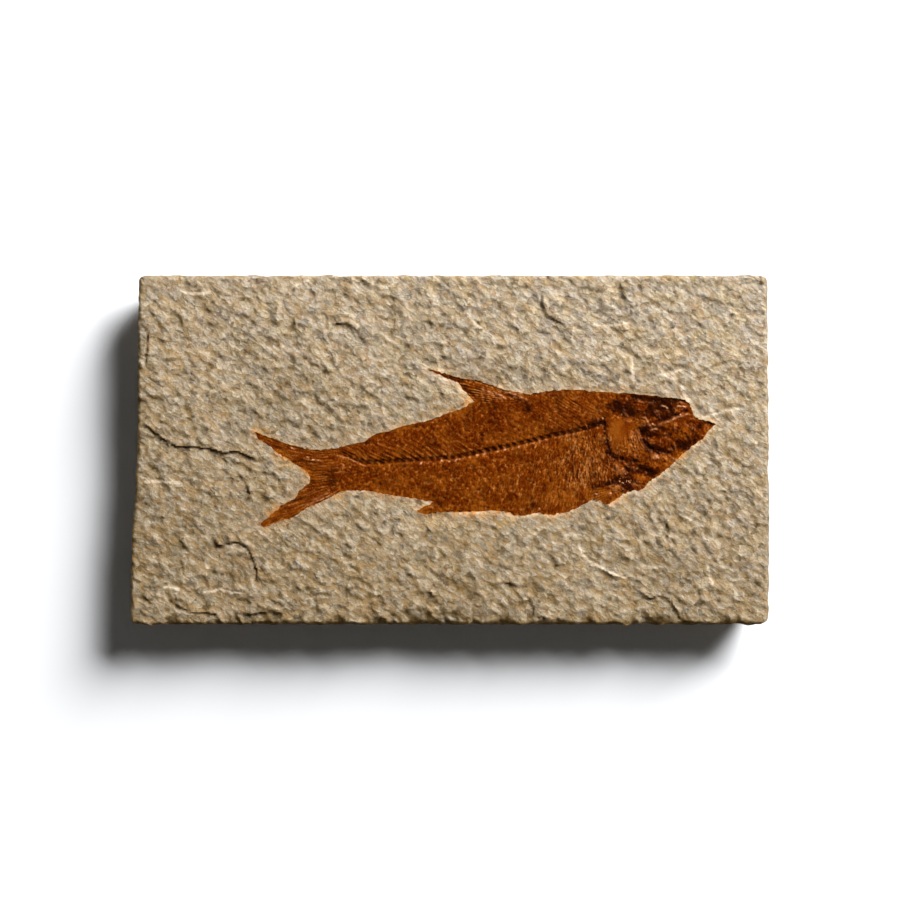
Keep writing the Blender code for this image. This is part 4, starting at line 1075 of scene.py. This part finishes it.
speck = grain(x, y, 0.46, 117.0, 2) * head * uneven
crumple = grain(x, y, 1.7, 87.0, 3) + 0.35 * grain(x, y, 0.6, 88.0, 2)
crumple = crumple * head * uneven
level += (0.09 * mottle + 0.05 * blotch + 0.02 * spot) * uneven + 0.12 * crumple + 0.06 * speck
level += 0.04 * (body_threads - body_gaps) + 0.05 * (groove_ribs - grooves)

# Patches and single marks, with wandering edges
wandering = shaken(x, y, 0.9, 1.3, 83.0, 2)
dark = patches(DARK_PATCHES, *wandering)
dark *= np.clip(1.0 + grain(x, y, 1.5, 115.0, 2), 0.5, 1.5)
pale = patches(PALE_PATCHES, *wandering)
orange = patches(ORANGE_PATCHES, *wandering)
glint_highlight = np.zeros(len(x))
for half_width, height, tone, points in MARKS:
    near, off, side, travel = near_line(drawn(points, 4), x, y, 3.0 * half_width)
    ends = capped(np.minimum(travel, 1.0 - travel) * 8.0 + 0.4)
    ragged = off + 0.8 * half_width * grain(x[near], y[near], 0.45, 91.0)
    press = np.exp(-(ragged / (1.1 * half_width)) ** 2) * ends
    press *= np.clip(0.85 + 1.2 * grain(x[near], y[near], 0.8, 90.0), 0.25, 1.0)
    level[near] += 0.8 * height * press
    dark[near] += max(-tone, 0.0) * press
    dark[near] *= 1.0 - 0.8 * max(tone, 0.0) * press
    pale[near] = np.maximum(pale[near], 0.7 * max(tone, 0.0) * press)
    # The palest marks also get a painted glint
    glint_highlight[near] = np.maximum(glint_highlight[near], 0.85 * ease((tone - 0.2) / 0.8) * press)
level += 0.14 * patches(PROUD, x, y) - 0.18 * patches(DEEP, x, y)
spots[on_face, 2] = level
facing = smoothed(fish, spots, FILM_CREASE)[on_face]
to_lamp = LAMP_SIDE[0] * facing[:, 0] + LAMP_SIDE[1] * facing[:, 1]
to_lamp = to_lamp * ease((inside - 0.15) / 0.25)

# How dark the film is: along the backbone and between the bones and rays, with painted shade in the
# hollows and on the sides away from the lamp
band = np.exp(-((above - 0.32 - 0.12 * jitter) / 0.48) ** 4) * in_body
band *= np.interp(x, [-24.0, -19.0, 5.0, 22.0, 33.0], [0.3, 0.75, 0.85, 0.95, 1.2])
dark += band * (1.3 - 0.75 * vertebra)
dark += 0.26 * back_gaps + 0.24 * belly_gaps + 0.44 * strip_gaps + 0.3 * rib_gaps
dark += 0.24 * body_gaps * capped(0.6 + 1.6 * wobble) + 0.75 * grooves
dark += 0.2 * tail_gaps + 0.28 * dorsal_gaps + 0.18 * hatch_zone - 0.18 * hatch + 0.14 * tail
# Painted shade in the hollows of the crumpled head
dark += (0.4 + 0.4 * dark) * capped(-1.1 * crumple - 0.06, 0.45)
dark += capped(-1.5 * speck - 0.25, 0.4) + 0.17 * ease(above / 2.0) * body
# Painted shade on the sides away from the lamp
dark += (0.35 + 0.25 * head) * capped(-1.5 * to_lamp - 0.04, 0.5)
dots = capped(0.8 * mottle - 0.06, 0.36) + capped(0.8 * blotch - 0.04, 0.4)
dots += capped(0.7 * spot - 0.06, 0.22)
dark += uneven * (1.0 - 0.45 * head) * dots
dark *= 1.0 - 0.55 * cover

# How pale it is: on the bones and rays and in the worn dots, with painted highlight on the sides towards the
# lamp
pale += 0.4 * back_bones + 0.26 * hatch + 0.18 * belly_bones + 0.65 * strips + 0.45 * ribs
pale += 0.62 * body_threads * capped(0.5 - 1.6 * wobble) + 0.7 * groove_ribs
pale += 0.26 * cover * ease((40.0 - x) / 4.5) * ease((y + 0.5) / 3.0) + 0.18 * vertebra * trunk
pale += 0.48 * tail_rays + 0.62 * dorsal_rays + 0.26 * breast_rays + 0.18 * anal_rays
pale += uneven * (capped(-1.4 * mottle - 0.16, 0.48) + capped(-1.2 * spot - 0.18, 0.3))
# Painted highlight on the sides towards the lamp; pale flecks on the head
pale += 0.3 * capped(1.4 * to_lamp - 0.06, 0.5) + capped(1.4 * speck - 0.35, 0.3)

# Painted glints: on the lower corner of each vertebra and on the grains in the pit, and painted highlight on
# the plates that face the lamp
crumb_glints = ease((grain(x, y, 0.5, 89.0, 2) - 0.34) / 0.16)
crumb_glints *= capped(patches(GLITTER, x, y))
own_light = 0.5 + 0.5 * within(x, 2.0, 14.0, 3.0)
own_light = capped(own_light + 2.6 * grain(np.round(step), 0.0 * step, 0.37, 70.0))
glints = vertebra ** 1.5 * own_light * np.exp(-((above + 0.4 + 0.5 * jitter) / 0.24) ** 2)
glints *= within(x, -8.0, 27.0, 4.0) * capped(0.9 + 1.5 * grain(x, y, 0.5, 114.0))
pale += 0.7 * glints + 0.7 * crumb_glints
glint_highlight = np.maximum(glint_highlight, 0.9 * np.maximum(glints, crumb_glints))
lamp_highlight = capped(0.28 * head + 2.0 * patches(HIGHLIGHT_PATCHES, *wandering))
lamp_highlight *= (1.0 - 0.5 * capped(dark)) * ease((to_lamp - 0.17) / 0.22)
glint_highlight = np.maximum(glint_highlight, lamp_highlight)

# The film thins to orange at its edge
orange += capped(1.4 * grain(x, y, 4.2, 99.0, 2), 0.6)
fringe = fringe_strength(x, y)
orange += fringe * np.exp(-inside / 0.9)
dark -= 0.5 * fringe * np.exp(-inside / 0.6)
dark = 1.0 - np.exp(-(1.4 + 0.5 * head) * np.maximum(dark, 0.0))
for name, values in {"dark": dark, "pale": pale, "orange": orange, "glint_highlight": glint_highlight}.items():
    paint(fish, name, on_face, values)

bone_shader = start_material(fish, "fossil_bone_film")
tint = blend(spread(speckle(2.0, 4.0, 0.6), 0.36, 0.64), (0.093, 0.012, 0.0002), (0.14, 0.024, 0.0005))
tint = coated(tint, [
    (painted("orange") * 0.75, (0.265, 0.07, 0.0045)),
    (spread(speckle(0.38, 3.0, 0.65), 0.5, 0.72) * 0.33, (0.056, 0.0078, 0.0001)),
    (spread(speckle(0.42, 3.0, 0.65), 0.54, 0.74) * 0.44, (0.29, 0.098, 0.014)),
    # Pale bones and worn dots, with painted highlight on the sides towards the lamp
    (spread(painted("pale"), 0.05, 0.9) * 0.9, (0.31, 0.096, 0.01)),
    (spread(painted("pale"), 0.45, 1.0) * 0.62, (0.39, 0.164, 0.054)),
    # Dark film, with painted shade in the hollows and on the sides away from the lamp
    (painted("dark") * 0.92, (0.04, 0.004, 0.0004)),
    (spread(painted("dark"), 0.58, 1.0) * 0.95, (0.011, 0.0026, 0.0008)),
    # Painted glints and highlights: dim and red where weak, pale peach where strong
    (painted("glint_highlight"), (0.4, 0.15, 0.056)),
    (spread(painted("glint_highlight"), 0.4, 1.0) * 0.85, (0.68, 0.41, 0.25)),
])
Wire.tree.links.new(tint.socket, bone_shader.inputs["Base Color"])
bone_shader.inputs["Roughness"].default_value = 0.8
bone_shader.inputs["Specular IOR Level"].default_value = 0.0
bone_shader.inputs["Coat Weight"].default_value = 0.01
bone_shader.inputs["Coat Roughness"].default_value = 0.22
bump_into(bone_shader, speckle(0.32, 3.0, 0.65), 0.5, 0.12 * MM)
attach(fish, "root")
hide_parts("fossil_fish")
